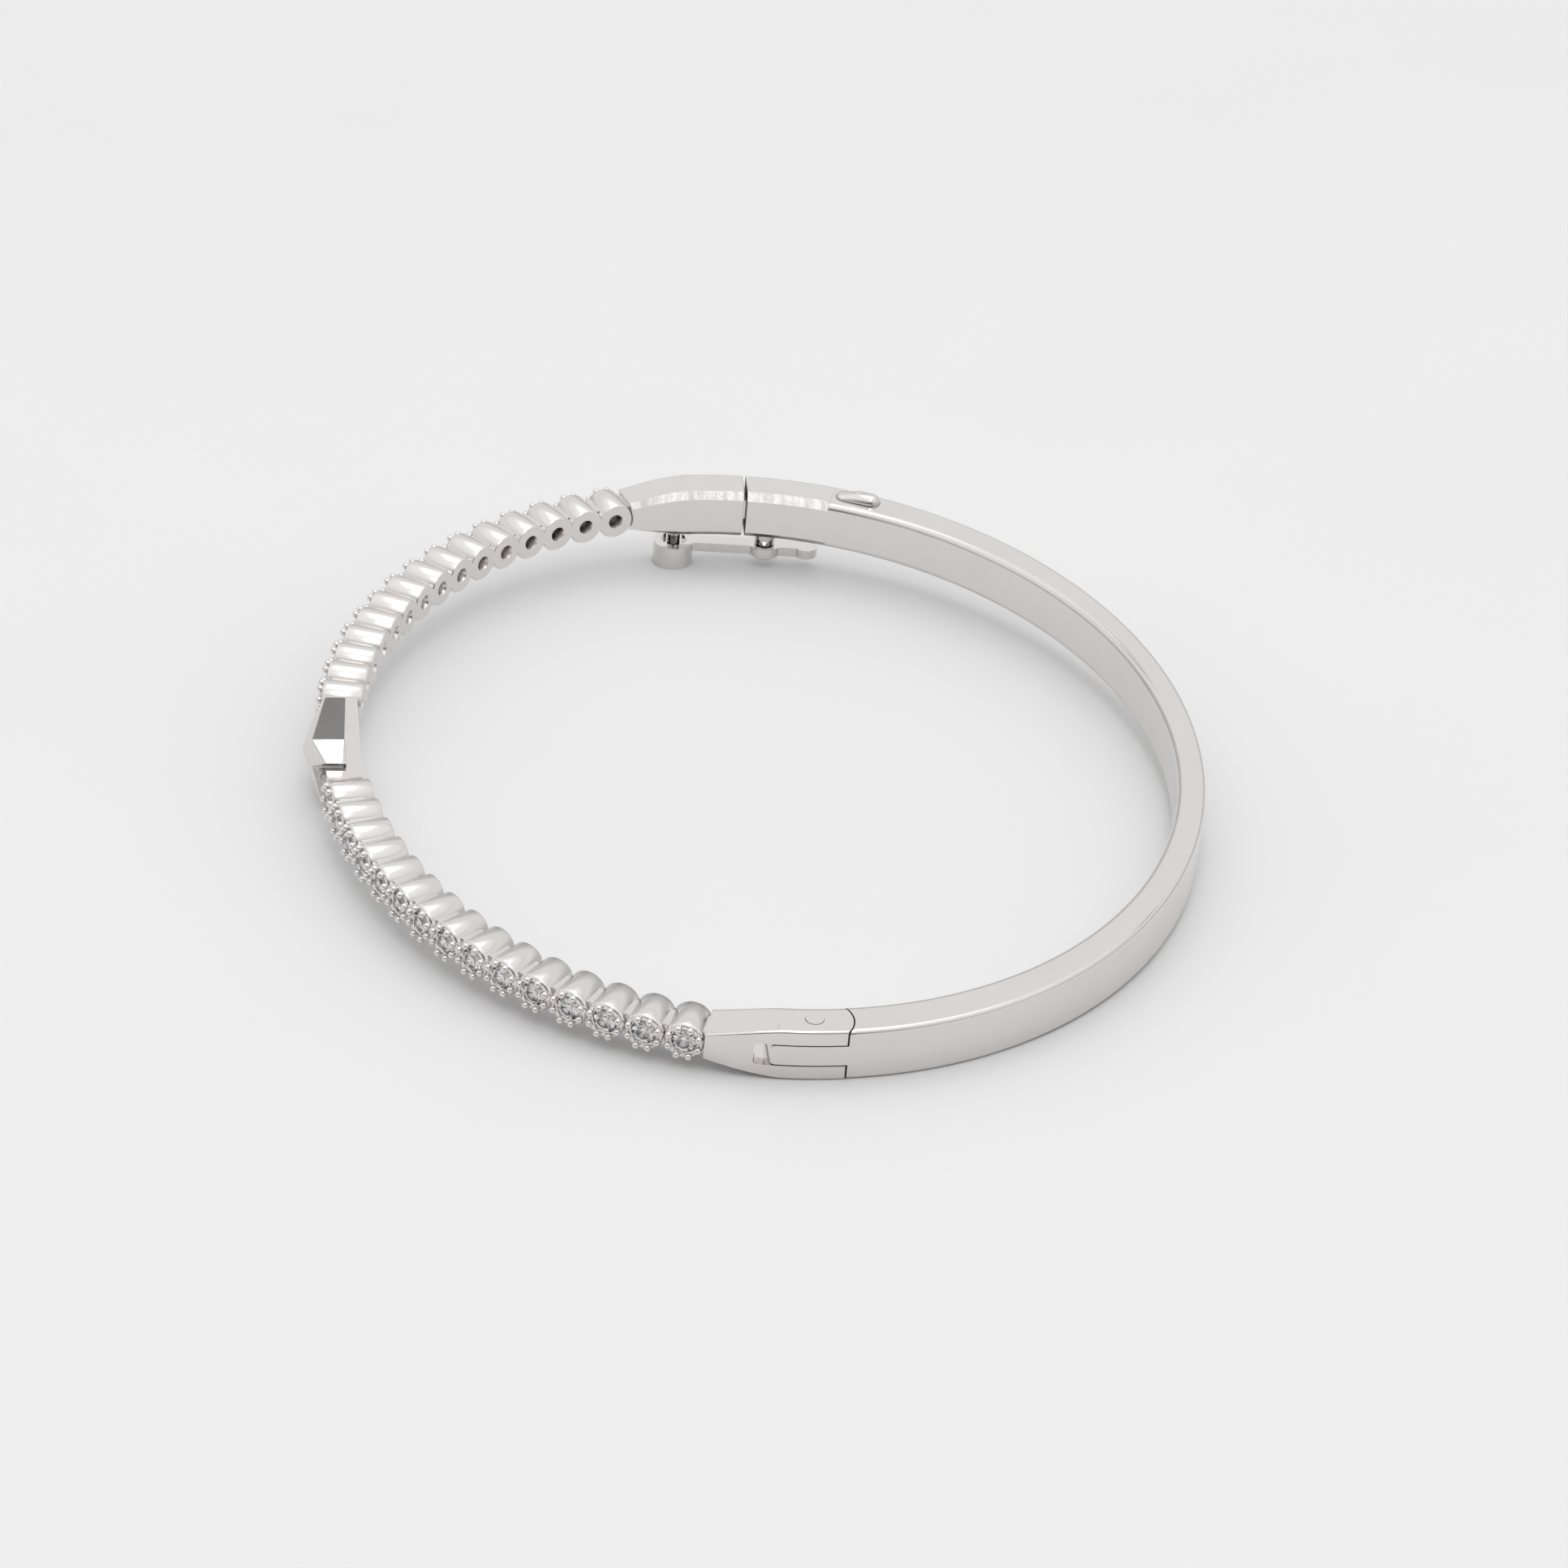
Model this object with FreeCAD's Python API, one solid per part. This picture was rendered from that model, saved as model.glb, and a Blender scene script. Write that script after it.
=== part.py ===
"""Hinged bangle bracelet: a polished back half and a stone-set front half with a star.

Millimetres. The origin is the centre of the wrist opening at half the band's height, +Z runs along
the wrist, +X points to the back of the band, -X to the star, -Y to the hinge and +Y to the clasp.
"""
import FreeCAD, Part
import math
import os

from FreeCAD import Vector

# ---- driving dimensions ----------------------------------------------------------------------
# band: the wall lies between two ellipses that share one centre
outer_width = 61.0          # hinge side to clasp side, over the outer faces
outer_depth = 51.4          # front to back, over the outer faces
side_wall = 2.6             # wall at the hinge and at the clasp
back_wall = 1.6             # wall at the middle of the back
side_height = 3.1           # height of the band at the hinge and at the clasp
back_height = 3.5           # height of the band at the middle of the back
seam_x = 1.8                # how far both seams lie behind the widest line of the oval
outer_bevel = 0.22          # small bevel along the outer edges of the back half
inner_round = 0.42          # rounding along the inner edges of the back half

# hinge
ear_radius = 2.1            # round ends of the two ears, about the hinge pin
ear_bulge = 0.25            # how far the ears reach past the seam line
hinge_gap = 0.08            # gap between the ear ends and the back half
pin_radius = 0.5
pin_clearance = 0.04        # knuckle on pin, radial
knuckle_height = 1.22
knuckle_length = 4.25       # from the seam line to the end of the knuckle
knuckle_corner = 0.28
slot_side_gap = 0.07        # between the knuckle and each ear
slot_window = 0.9           # part of the slot that the knuckle leaves open
slot_corner = 0.25

# shoulders of the front half
shoulder_length = 7.5       # along the middle of the wall, from the seam to the first collet
shoulder_flat = 3.6         # stretch next to the seam that keeps the full height
shoulder_end_height = 1.7
taper_slope = 0.85          # end slope of the taper, as a share of its mean slope
taper_middle = 0.36         # share of the taper's drop that is done half way along it

# rows of collets
stones_per_row = 15
collet_depth = 2.5          # along the collet's own axis
collet_rim = 0.44           # metal round the stone
rail_height = 1.3           # bar that joins the collets of a row
rail_sink = 0.5             # its distance from both ends of the collets
stone_radius = 0.68
stone_sink = 0.22           # girdle below the collet's rim
crown_share = 0.30          # crown, pavilion, girdle and table as shares of the stone's radius
pavilion_share = 0.86
girdle_share = 0.04
table_share = 0.56
culet_hole_radius = 0.36
beads_per_collet = 8
bead_radius = 0.2
bead_gap = 0.02             # between the beads and the stone's girdle

# star and the bridge behind it
star_radius = 3.5
star_tip_thickness = 1.2
star_notch_thickness = 1.9
star_middle_thickness = 2.4
bridge_thickness = 0.9
bridge_height = 1.6
spacer_start = 3.35         # half length of the stretch behind the star
spacer_end = 4.45           # where each row of collets begins, along the middle of the wall

# clasp
seam_gap = 0.12
box_length = 5.6            # clasp box, from the seam along the middle of the wall
tongue_length = 4.2
tongue_thickness = 1.0
tongue_inset = 0.25         # towards the wrist from the middle of the wall
tongue_low = -0.42
tongue_high = 0.85
tongue_root = 1.2           # length of the tongue held inside the clasp shoulder
clasp_clearance = 0.08      # round the tongue
catch_travel = 0.35         # how far the button goes down
arm_top = -0.50
arm_thickness = 0.35
arm_width = 0.7
tooth_height = 0.33
tooth_length = 0.6
tooth_from_tip = 1.3        # middle of the tooth, from the tongue's tip
notch_play = 0.15           # round the tooth, along the tongue
channel_depth_play = 0.05   # below the arm when the button is down
channel_play = 0.12         # beside the arm

# release button
button_from_box = 0.2       # wall between the clasp box and the cap
button_length = 2.8
button_width = 1.2
button_top = 2.15
button_under = 1.25         # underside of the cap at rest
pocket_floor = 0.45
pocket_play = 0.06
stem_radius = 0.32
stem_play = 0.05
spring_wire = 0.07
spring_turns = 3.0
spring_radius = 0.44

# safety latch under the clasp
latch_gap = 0.95            # between the band and the latch
latch_thickness = 0.6
hook_depth = 1.45           # depth of the deeper lobe that closes round the peg
latch_pivot = 1.6           # places along the tangent at the clasp seam, + towards the back half
latch_hook = -4.1
latch_tab = 4.2
hook_lobe_radius = 1.25
hook_lobe_inset = 0.25      # middle of the hook lobe, towards the wrist from the peg
pivot_lobe_radius = 1.0
tab_lobe_radius = 0.75
waist_width = 0.95
latch_edge = 0.16
mouth_sweep = 30.0          # degrees about the rivet, long enough to leave the lobe's outer side
peg_radius = 0.4
peg_end = 0.15              # peg ends this far above the bottom of the hook lobe
peg_taper = 0.2             # bevel of its end
rivet_radius = 0.42
rivet_collar_radius = 0.62
rivet_head_radius = 0.8
head_thickness = 0.25
latch_play = 0.05           # latch on its rivet, radial, and under its collar
peg_play = 0.1              # hook round the peg
post_root = 0.35            # peg and rivet are let into the band by this much

# ---- values that follow from them --------------------------------------------------------------
outer_a, outer_b = outer_depth / 2, outer_width / 2
inner_a, inner_b = outer_a - back_wall, outer_b - side_wall
mid_a, mid_b = (outer_a + inner_a) / 2, (outer_b + inner_b) / 2
side_half, back_half = side_height / 2, back_height / 2
far = 2 * outer_b
tall = 4 * back_height

pin_x = seam_x + ear_bulge - ear_radius
pin_y = -mid_b * math.sqrt(1 - (pin_x / mid_a) ** 2)
pin_axis = Vector(pin_x, pin_y, 0)
slot_height = knuckle_height + 2 * slot_side_gap
slot_length = knuckle_length + slot_window

collet_radius = stone_radius + collet_rim
bead_circle = stone_radius + bead_gap + bead_radius
star_back_x = collet_depth - bridge_thickness - outer_a

tooth_place = tongue_length - tooth_from_tip
arm_bottom = arm_top - arm_thickness
channel_floor = arm_bottom - catch_travel - channel_depth_play
button_place = box_length + button_from_box + button_length / 2


def ellipse_point(a, b, angle):
    return Vector(a * math.cos(angle), b * math.sin(angle), 0)


def tangent(angle):
    """Direction of the middle of the wall as the angle grows."""
    return Vector(-mid_a * math.sin(angle), mid_b * math.cos(angle), 0).normalize()


def outward(angle):
    t = tangent(angle)
    return Vector(t.y, -t.x, 0)


def walk(angle, distance, steps=400):
    """Angle reached after walking a distance along the middle of the wall; + is anticlockwise."""
    step = distance / steps
    for _ in range(steps):
        speed = math.hypot(mid_a * math.sin(angle), mid_b * math.cos(angle))
        trial = angle + step / speed / 2
        angle += step / math.hypot(mid_a * math.sin(trial), mid_b * math.cos(trial))
    return angle


def arc_length(start, end, steps=400):
    width = (end - start) / steps
    total = 0.0
    for i in range(steps):
        angle = start + (i + 0.5) * width
        total += math.hypot(mid_a * math.sin(angle), mid_b * math.cos(angle)) * abs(width)
    return total


clasp_angle = math.acos(seam_x / mid_a)
hinge_angle = -clasp_angle
clasp_point = ellipse_point(mid_a, mid_b, clasp_angle)
clasp_radius = (clasp_point - pin_axis).Length - tongue_inset
clasp_bearing = math.degrees(math.atan2(clasp_point.y - pin_y, clasp_point.x - pin_x))


def at_angle(shape, angle, point):
    """Turn a shape built along +X, standing on the origin, so that +X points outwards at an angle."""
    out = outward(angle)
    turned = shape.copy()
    turned.rotate(Vector(0, 0, 0), Vector(0, 0, 1), math.degrees(math.atan2(out.y, out.x)))
    turned.translate(point)
    return turned


def ellipse_face(a, b, z):
    curve = Part.Ellipse(Vector(0, b, z), Vector(a, 0, z), Vector(0, 0, z))
    return Part.Face(Part.Wire(curve.toShape()))


def hoop(height, outside, inside):
    """Elliptical hoop of even height between two ovals, each given as its two half axes."""
    rise = Vector(0, 0, height)
    body = ellipse_face(*outside, -height / 2).extrude(rise)
    return body.cut(ellipse_face(*inside, -height / 2).extrude(rise))


def wall(height):
    return hoop(height, (outer_a, outer_b), (inner_a, inner_b))


def collet_wall(height, sink, depth):
    """Hoop that lies between two depths below the outer oval."""
    return hoop(height, (outer_a - sink, outer_b - sink), (outer_a - depth, outer_b - depth))


def prism(points, low, high):
    corners = [Vector(p[0], p[1], low) for p in points]
    return Part.Face(Part.makePolygon(corners + corners[:1])).extrude(Vector(0, 0, high - low))


def sector(start, end):
    """Wedge of plan between two angles of the ellipse, seen from the wall's own normals."""
    points = []
    for angle, sign in ((start, -1), (start, 1), (end, 1), (end, -1)):
        middle = ellipse_point(mid_a, mid_b, angle)
        points.append(middle + outward(angle) * sign * 2 * side_wall)
    return prism([(p.x, p.y) for p in points], -tall, tall)


def wedge(start, end, pieces=6):
    """Longer wedge of plan, made of several short ones so that it follows the curve."""
    width = (end - start) / pieces
    parts = [sector(start + i * width, start + (i + 1) * width) for i in range(pieces)]
    return parts[0].multiFuse(parts[1:]).removeSplitter()


def seam_regions():
    """Plan regions of the front and of the back half; the clasp seam is radial to the hinge pin."""
    along = (clasp_point - pin_axis).normalize()
    top = pin_axis + along * 2 * far
    front = prism([(-far, -far), (pin_x, -far), (pin_x, pin_y), (top.x, top.y), (-far, 2 * far)],
                  -tall, tall)
    back = prism([(far, -far), (pin_x + seam_gap, -far), (pin_x + seam_gap, pin_y),
                  (top.x + seam_gap, top.y), (far, 2 * far)], -tall, tall)
    return front, back


def arc_band(radius_low, radius_high, start, end, low, high):
    """Piece of a ring about the hinge pin, lengths measured along it from the clasp seam."""
    turn = math.degrees(1 / clasp_radius)
    place = Vector(pin_x, pin_y, low)
    sweep = (end - start) * turn
    first = clasp_bearing - end * turn
    ring = Part.makeCylinder(radius_high, high - low, place, Vector(0, 0, 1), sweep)
    ring = ring.cut(Part.makeCylinder(radius_low, high - low, place, Vector(0, 0, 1), 360))
    ring.rotate(place, Vector(0, 0, 1), first)
    return ring


def save(name, shape):
    shape = shape.removeSplitter()
    solids = shape.Solids
    if len(solids) == 1:
        shape = solids[0]
    print(name, "solids", len(solids), "valid", shape.isValid(), "volume %.3f" % shape.Volume)
    shape.exportStep("parts/" + name + ".step")
    return shape


# ---- back half ------------------------------------------------------------------------------------
def height_lens():
    """Everything between the two gently curved edges of the back half, seen from the side."""
    reach = outer_b * 1.1
    drop = (back_half - side_half) * (reach / outer_b) ** 2
    low = back_half - drop
    x = -far
    top = Part.Arc(Vector(x, -reach, low), Vector(x, 0, back_half), Vector(x, reach, low)).toShape()
    bottom = Part.Arc(Vector(x, -reach, -low), Vector(x, 0, -back_half), Vector(x, reach, -low)).toShape()
    left = Part.makeLine(Vector(x, -reach, -low), Vector(x, -reach, low))
    right = Part.makeLine(Vector(x, reach, low), Vector(x, reach, -low))
    return Part.Face(Part.Wire([bottom, right, top, left])).extrude(Vector(2 * far, 0, 0))


def long_edges(shape, a, b):
    """Edges of a shape that run along the oval with these half axes."""
    found = []
    for edge in shape.Edges:
        middle = edge.valueAt((edge.FirstParameter + edge.LastParameter) / 2)
        on_oval = abs((middle.x / a) ** 2 + (middle.y / b) ** 2 - 1) < 0.002
        if on_oval and edge.Length > side_wall * 2:
            found.append(edge)
    return found


def softened_band():
    """Back half of the ring with its long edges bevelled outside and rounded inside."""
    box = Part.makeBox(2 * far, 4 * far, 2 * tall, Vector(pin_x - knuckle_length, -2 * far, -tall))
    band = wall(tall).common(height_lens()).common(box)
    band = band.makeChamfer(outer_bevel, long_edges(band, outer_a, outer_b))
    return band.makeFillet(inner_round, long_edges(band, inner_a, inner_b))


def knuckle():
    """Tongue of the back half that lies between the ears and turns on the pin."""
    half = knuckle_height / 2
    tip = Part.makeBox(knuckle_length + 2 * ear_radius, far, knuckle_height,
                       Vector(seam_x - knuckle_length, -far - inner_b / 2, -half))
    corners = [e for e in tip.Edges if abs(e.tangentAt(0).y) > 0.9 and e.CenterOfMass.x < seam_x]
    tip = tip.makeFillet(knuckle_corner, corners)
    return wall(tall).common(tip)


def tongue_cavity():
    low = clasp_radius - tongue_thickness / 2 - clasp_clearance
    high = clasp_radius + tongue_thickness / 2 + clasp_clearance
    return arc_band(low, high, -1.0, tongue_length + clasp_clearance,
                    tongue_low - clasp_clearance, tongue_high + clasp_clearance)


def arm_ends():
    """Plan points of the catch arm: under the tooth and under the button."""
    angle = math.radians(clasp_bearing) - tooth_place / clasp_radius
    tooth = pin_axis + Vector(math.cos(angle), math.sin(angle), 0) * clasp_radius
    return tooth, ellipse_point(mid_a, mid_b, walk(clasp_angle, -button_place))


def bar(start, end, before, after, width, low, high):
    """Straight bar of even width between two plan points, run on past both of them."""
    along = (end - start).normalize()
    side = Vector(-along.y, along.x, 0) * (width / 2)
    first, last = start - along * before, end + along * after
    return prism([(p.x, p.y) for p in (first - side, last - side, last + side, first + side)], low, high)


def arm_channel():
    tooth, button = arm_ends()
    reach = tooth_length / 2 + channel_play
    return bar(tooth, button, reach, stem_radius + 2 * channel_play, arm_width + 2 * channel_play,
               channel_floor, tongue_low - clasp_clearance + arm_thickness)


def oval_plate(length, width, low, high):
    """Oval prism that lies along +Y about the origin."""
    radius = width / 2
    run = length / 2 - radius
    shape = Part.makeBox(width, 2 * run, high - low, Vector(-radius, -run, low))
    for sign in (-1, 1):
        end = Part.makeCylinder(radius, high - low, Vector(0, sign * run, low))
        shape = shape.fuse(end)
    return shape.removeSplitter()


def back_parts():
    back = seam_regions()[1]
    ear_room = Part.makeCylinder(ear_radius + hinge_gap, 2 * tall, Vector(pin_x, pin_y, -tall))
    soft = softened_band()
    body = soft.common(back).cut(ear_room)
    box_angle = walk(clasp_angle, -box_length)
    box_zone = sector(walk(clasp_angle, 1.0), box_angle)

    pin_hole = Part.makeCylinder(pin_radius + pin_clearance, 2 * tall, Vector(pin_x, pin_y, -tall))
    band = body.cut(box_zone).fuse(knuckle()).cut(pin_hole)

    button_angle = walk(clasp_angle, -button_place)
    spot = ellipse_point(mid_a, mid_b, button_angle)
    pocket = oval_plate(button_length + 2 * pocket_play, button_width + 2 * pocket_play,
                        pocket_floor, tall)
    stem_hole = Part.makeCylinder(stem_radius + stem_play, tall, Vector(0, 0, channel_floor))
    channel = arm_channel()
    band = band.cut(at_angle(pocket, button_angle, spot))
    band = band.cut(at_angle(stem_hole, button_angle, spot)).cut(channel)
    box = body.common(box_zone).cut(tongue_cavity()).cut(channel).cut(latch_rivet())
    return band, box


# ---- front half -----------------------------------------------------------------------------------
def shoulder_profile():
    """Side view of a shoulder: full height by the seam, then a smooth taper to the collets."""
    end_x = -(shoulder_length - seam_x) - side_wall
    flat_x = seam_x - shoulder_flat
    end_half = shoulder_end_height / 2
    slope = taper_slope * (side_half - end_half) / (flat_x + shoulder_length - seam_x)
    last_half = end_half - slope * side_wall
    mid_x = (flat_x + end_x) / 2
    mid_half = side_half - (side_half - last_half) * taper_middle

    def curve(sign):
        spline = Part.BSplineCurve()
        points = [Vector(flat_x, 0, sign * side_half), Vector(mid_x, 0, sign * mid_half),
                  Vector(end_x, 0, sign * last_half)]
        spline.interpolate(Points=points, InitialTangent=Vector(-1, 0, 0),
                           FinalTangent=Vector(-1, 0, -sign * 2 * slope))
        return spline.toShape()

    edges = [Part.makeLine(Vector(far, 0, side_half), Vector(flat_x, 0, side_half)), curve(1),
             Part.makeLine(Vector(end_x, 0, last_half), Vector(end_x, 0, -last_half)), curve(-1),
             Part.makeLine(Vector(flat_x, 0, -side_half), Vector(far, 0, -side_half)),
             Part.makeLine(Vector(far, 0, -side_half), Vector(far, 0, side_half))]
    face = Part.Face(Part.Wire(Part.__sortEdges__(edges)))
    face.translate(Vector(0, -2 * far, 0))
    return face.extrude(Vector(0, 4 * far, 0))


def shoulder(start, end):
    """Tapered piece of the wall between two angles."""
    return wall(tall).common(shoulder_profile()).common(sector(start, end))


def hinge_shoulder_envelope():
    front = seam_regions()[0]
    ears = Part.makeCylinder(ear_radius, 2 * tall, Vector(pin_x, pin_y, -tall))
    start = walk(hinge_angle, ear_radius)
    piece = shoulder(start, walk(hinge_angle, -shoulder_length))
    return piece.common(front.fuse(ears))


def hinge_slot():
    half = slot_height / 2
    slot = Part.makeBox(slot_length + 3 * ear_radius, far, slot_height,
                        Vector(seam_x - slot_length, -far - inner_b / 2, -half))
    corners = [e for e in slot.Edges if abs(e.tangentAt(0).y) > 0.9 and e.CenterOfMass.x < pin_x]
    return slot.makeFillet(slot_corner, corners)


def hinge_parts():
    envelope = hinge_shoulder_envelope()
    rod = Part.makeCylinder(pin_radius, 2 * tall, Vector(pin_x, pin_y, -tall))
    ears = envelope.cut(hinge_slot()).cut(rod).cut(collet_at(0, -1)[1])
    pin = rod.common(envelope)
    return ears, pin


def tongue():
    low, high = clasp_radius - tongue_thickness / 2, clasp_radius + tongue_thickness / 2
    blade = arc_band(low, high, -tongue_root, tongue_length, tongue_low, tongue_high)
    reach = tooth_length / 2 + notch_play
    notch = arc_band(low - 1, high + 1, tooth_place - reach, tooth_place + reach,
                     tongue_low - 1, arm_top + tooth_height + clasp_clearance)
    tips = [e for e in blade.Edges if e.Length < tongue_thickness * 1.05 and abs(e.tangentAt(0).z) < 0.1]
    tips = [e for e in tips if e.CenterOfMass.x > clasp_point.x]
    return blade.makeChamfer(tongue_thickness / 5, tips).cut(notch)


def clasp_shoulder():
    front = seam_regions()[0]
    piece = shoulder(walk(clasp_angle, shoulder_length), walk(clasp_angle, -1.0)).common(front)
    return piece.cut(tongue()).cut(catch_peg()).cut(collet_at(0, 1)[1])


# ---- collets, stones and star ------------------------------------------------------------------------
def stone():
    """Round brilliant standing on the origin's girdle plane, table towards +X."""
    crown, pavilion = crown_share * stone_radius, pavilion_share * stone_radius
    girdle, table_radius = girdle_share * stone_radius, table_share * stone_radius

    def ring(count, radius, x, turn):
        points = []
        for i in range(count):
            angle = 2 * math.pi * (i + turn) / count
            points.append(Vector(x, radius * math.cos(angle), radius * math.sin(angle)))
        return points

    table = ring(8, table_radius, crown, 0.0)
    upper = ring(16, stone_radius, girdle / 2, 0.0)
    lower = ring(16, stone_radius, -girdle / 2, 0.0)
    culet = Vector(-pavilion, 0, 0)
    faces = [table]
    for i in range(8):
        j = 2 * i
        faces.append([table[i], upper[j], upper[j + 1]])
        faces.append([table[i], upper[j - 1], upper[j]])
        faces.append([table[i], upper[j + 1], table[(i + 1) % 8]])
    for j in range(16):
        k = (j + 1) % 16
        faces.append([upper[j], lower[j], lower[k], upper[k]])
        faces.append([lower[j], culet, lower[k]])
    shell = Part.makeShell([Part.Face(Part.makePolygon(f + f[:1])) for f in faces])
    solid = Part.makeSolid(shell)
    if solid.Volume < 0:
        solid.reverse()
    return solid


def collet_place(index, side):
    """Angle of a collet on the middle of the wall, and the middle of its rim."""
    start = walk(clasp_angle, shoulder_length)
    front_end = walk(math.pi, -spacer_end)
    pitch = arc_length(start, front_end) / stones_per_row
    angle = side * walk(start, pitch * (index + 0.5))
    middle = ellipse_point(mid_a, mid_b, angle)
    out = outward(angle)
    reach = 0.0
    for _ in range(20):
        rim = middle + out * reach
        short = 1 - math.hypot(rim.x / outer_a, rim.y / outer_b)
        reach += short * side_wall * 4
    return angle, middle + out * reach


def collet_at(index, side):
    """One collet with its seat and beads, its full envelope, and its stone, all in place."""
    angle, rim = collet_place(index, side)
    along = Vector(1, 0, 0)
    body = Part.makeCylinder(collet_radius, collet_depth, Vector(-collet_depth, 0, 0), along)
    girdle_low = -stone_sink - girdle_share * stone_radius / 2
    cone_depth = (stone_radius - culet_hole_radius) * (pavilion_share - girdle_share / 2)
    seat = Part.makeCylinder(stone_radius, -girdle_low, Vector(girdle_low, 0, 0), along)
    cone = Part.makeCone(culet_hole_radius, stone_radius, cone_depth,
                         Vector(girdle_low - cone_depth, 0, 0), along)
    hole = Part.makeCylinder(culet_hole_radius, collet_depth + girdle_low,
                             Vector(-collet_depth, 0, 0), along)
    hollow = seat.fuse(cone).fuse(hole)
    beads = []
    for i in range(beads_per_collet):
        turn = 2 * math.pi * (i + 0.5) / beads_per_collet
        place = Vector(0, bead_circle * math.cos(turn), bead_circle * math.sin(turn))
        beads.append(Part.makeSphere(bead_radius, place))
    gem = stone()
    gem.translate(Vector(-stone_sink, 0, 0))
    placed = [at_angle(s, angle, rim) for s in (body, hollow, gem)]
    return [at_angle(b, angle, rim) for b in beads], placed[0], placed[1], placed[2]


def setting_row(side):
    """Fused row of collets on one side, the row's envelope and its stones from the seam to the star."""
    collets = [collet_at(i, side) for i in range(stones_per_row)]
    start = side * walk(clasp_angle, shoulder_length)
    end = side * walk(math.pi, -spacer_end)
    rail = collet_wall(rail_height, rail_sink, collet_depth - rail_sink).common(wedge(start, end))
    envelope = rail.multiFuse([c[1] for c in collets])
    hollows = collets[0][2].multiFuse([c[2] for c in collets[1:]])
    beads = [b for c in collets for b in c[0]]
    row = envelope.cut(hollows).multiFuse(beads)
    return row, envelope, [c[3] for c in collets]


def star():
    """Five-point star with a faceted front; its flat back rests on the bridge."""
    notch_radius = star_radius * math.cos(math.radians(72)) / math.cos(math.radians(36))
    back, front = [], []
    for i in range(10):
        turn = math.pi / 2 + i * math.pi / 5
        radius = star_radius if i % 2 == 0 else notch_radius
        thick = star_tip_thickness if i % 2 == 0 else star_notch_thickness
        y, z = radius * math.cos(turn), radius * math.sin(turn)
        back.append(Vector(star_back_x, y, z))
        front.append(Vector(star_back_x - thick, y, z))
    middle = Vector(star_back_x - star_middle_thickness, 0, 0)
    faces = [back]
    for i in range(10):
        j = (i + 1) % 10
        faces.append([front[i], front[j], middle])
        faces.append([back[i], back[j], front[j]])
        faces.append([back[i], front[j], front[i]])
    shell = Part.makeShell([Part.Face(Part.makePolygon(f + f[:1])) for f in faces])
    solid = Part.makeSolid(shell)
    if solid.Volume < 0:
        solid.reverse()
    return solid


def star_bridge(rows):
    """Bar behind the star with a spacer block at each end that meets the last collet."""
    start, end = walk(math.pi, -spacer_end), walk(math.pi, spacer_end)
    core = collet_wall(bridge_height, rail_sink / 2, collet_depth).common(wedge(start, end))
    room = Part.makeBox(2 * side_wall, 2 * spacer_start, tall,
                        Vector(star_back_x - 2 * side_wall, -spacer_start, -tall / 2))
    inside = Part.makeBox(2 * side_wall, 2 * far, tall,
                          Vector(star_back_x + bridge_thickness, -far, -tall / 2))
    bridge = core.cut(room).cut(inside)
    for envelope in rows:
        bridge = bridge.cut(envelope)
    return bridge


# ---- release button ---------------------------------------------------------------------------------
def release_button():
    angle = walk(clasp_angle, -button_place)
    spot = ellipse_point(mid_a, mid_b, angle)
    cap = oval_plate(button_length, button_width, button_under, button_top)
    top = [e for e in cap.Edges if e.CenterOfMass.z > button_top - 0.01]
    cap = cap.makeFillet(button_width / 4, top)
    stem = Part.makeCylinder(stem_radius, button_under - arm_bottom, Vector(0, 0, arm_bottom))
    return at_angle(cap.fuse(stem), angle, spot)


def catch_arm():
    tooth, button = arm_ends()
    reach = tooth_length / 2
    arm = bar(tooth, button, reach, stem_radius + channel_play, arm_width, arm_bottom, arm_top)
    along = (button - tooth).normalize()
    start, end = tooth - along * reach, tooth + along * reach
    hook = bar(start, end, 0, 0, arm_width, arm_top, arm_top + tooth_height)
    return arm.fuse(hook).cut(release_button())


def button_spring():
    angle = walk(clasp_angle, -button_place)
    spot = ellipse_point(mid_a, mid_b, angle)
    low, high = pocket_floor + spring_wire, button_under - spring_wire
    helix = Part.makeHelix((high - low) / spring_turns, high - low, spring_radius)
    profile = Part.Wire(Part.Circle(Vector(spring_radius, 0, 0), Vector(0, 1, 0), spring_wire).toShape())
    coil = Part.Wire(helix).makePipeShell([profile], True, True)
    coil.translate(Vector(spot.x, spot.y, low))
    return coil


# ---- safety latch -------------------------------------------------------------------------------------
latch_top = -side_half - latch_gap
latch_bottom = latch_top - latch_thickness
hook_bottom = latch_top - hook_depth


def latch_point(distance, inset=0.0):
    """Plan point along the tangent at the clasp seam, moved towards the wrist by an inset."""
    return clasp_point - tangent(clasp_angle) * distance - outward(clasp_angle) * inset


def drum(point, radius, low, high):
    return Part.makeCylinder(radius, high - low, Vector(point.x, point.y, low))


def hook_mouth():
    """Way out for the peg: a curved slot about the rivet through the lobe's outer side."""
    pivot, hook = latch_point(latch_pivot), latch_point(latch_hook)
    arm, half = latch_pivot - latch_hook, peg_radius + peg_play
    place = Vector(pivot.x, pivot.y, hook_bottom - 1)
    bearing = math.degrees(math.atan2(hook.y - pivot.y, hook.x - pivot.x))
    slot = Part.makeCylinder(arm + half, hook_depth + 2, place, Vector(0, 0, 1), mouth_sweep)
    slot = slot.cut(Part.makeCylinder(arm - half, hook_depth + 2, place))
    slot.rotate(place, Vector(0, 0, 1), bearing - mouth_sweep)
    return slot


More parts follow.
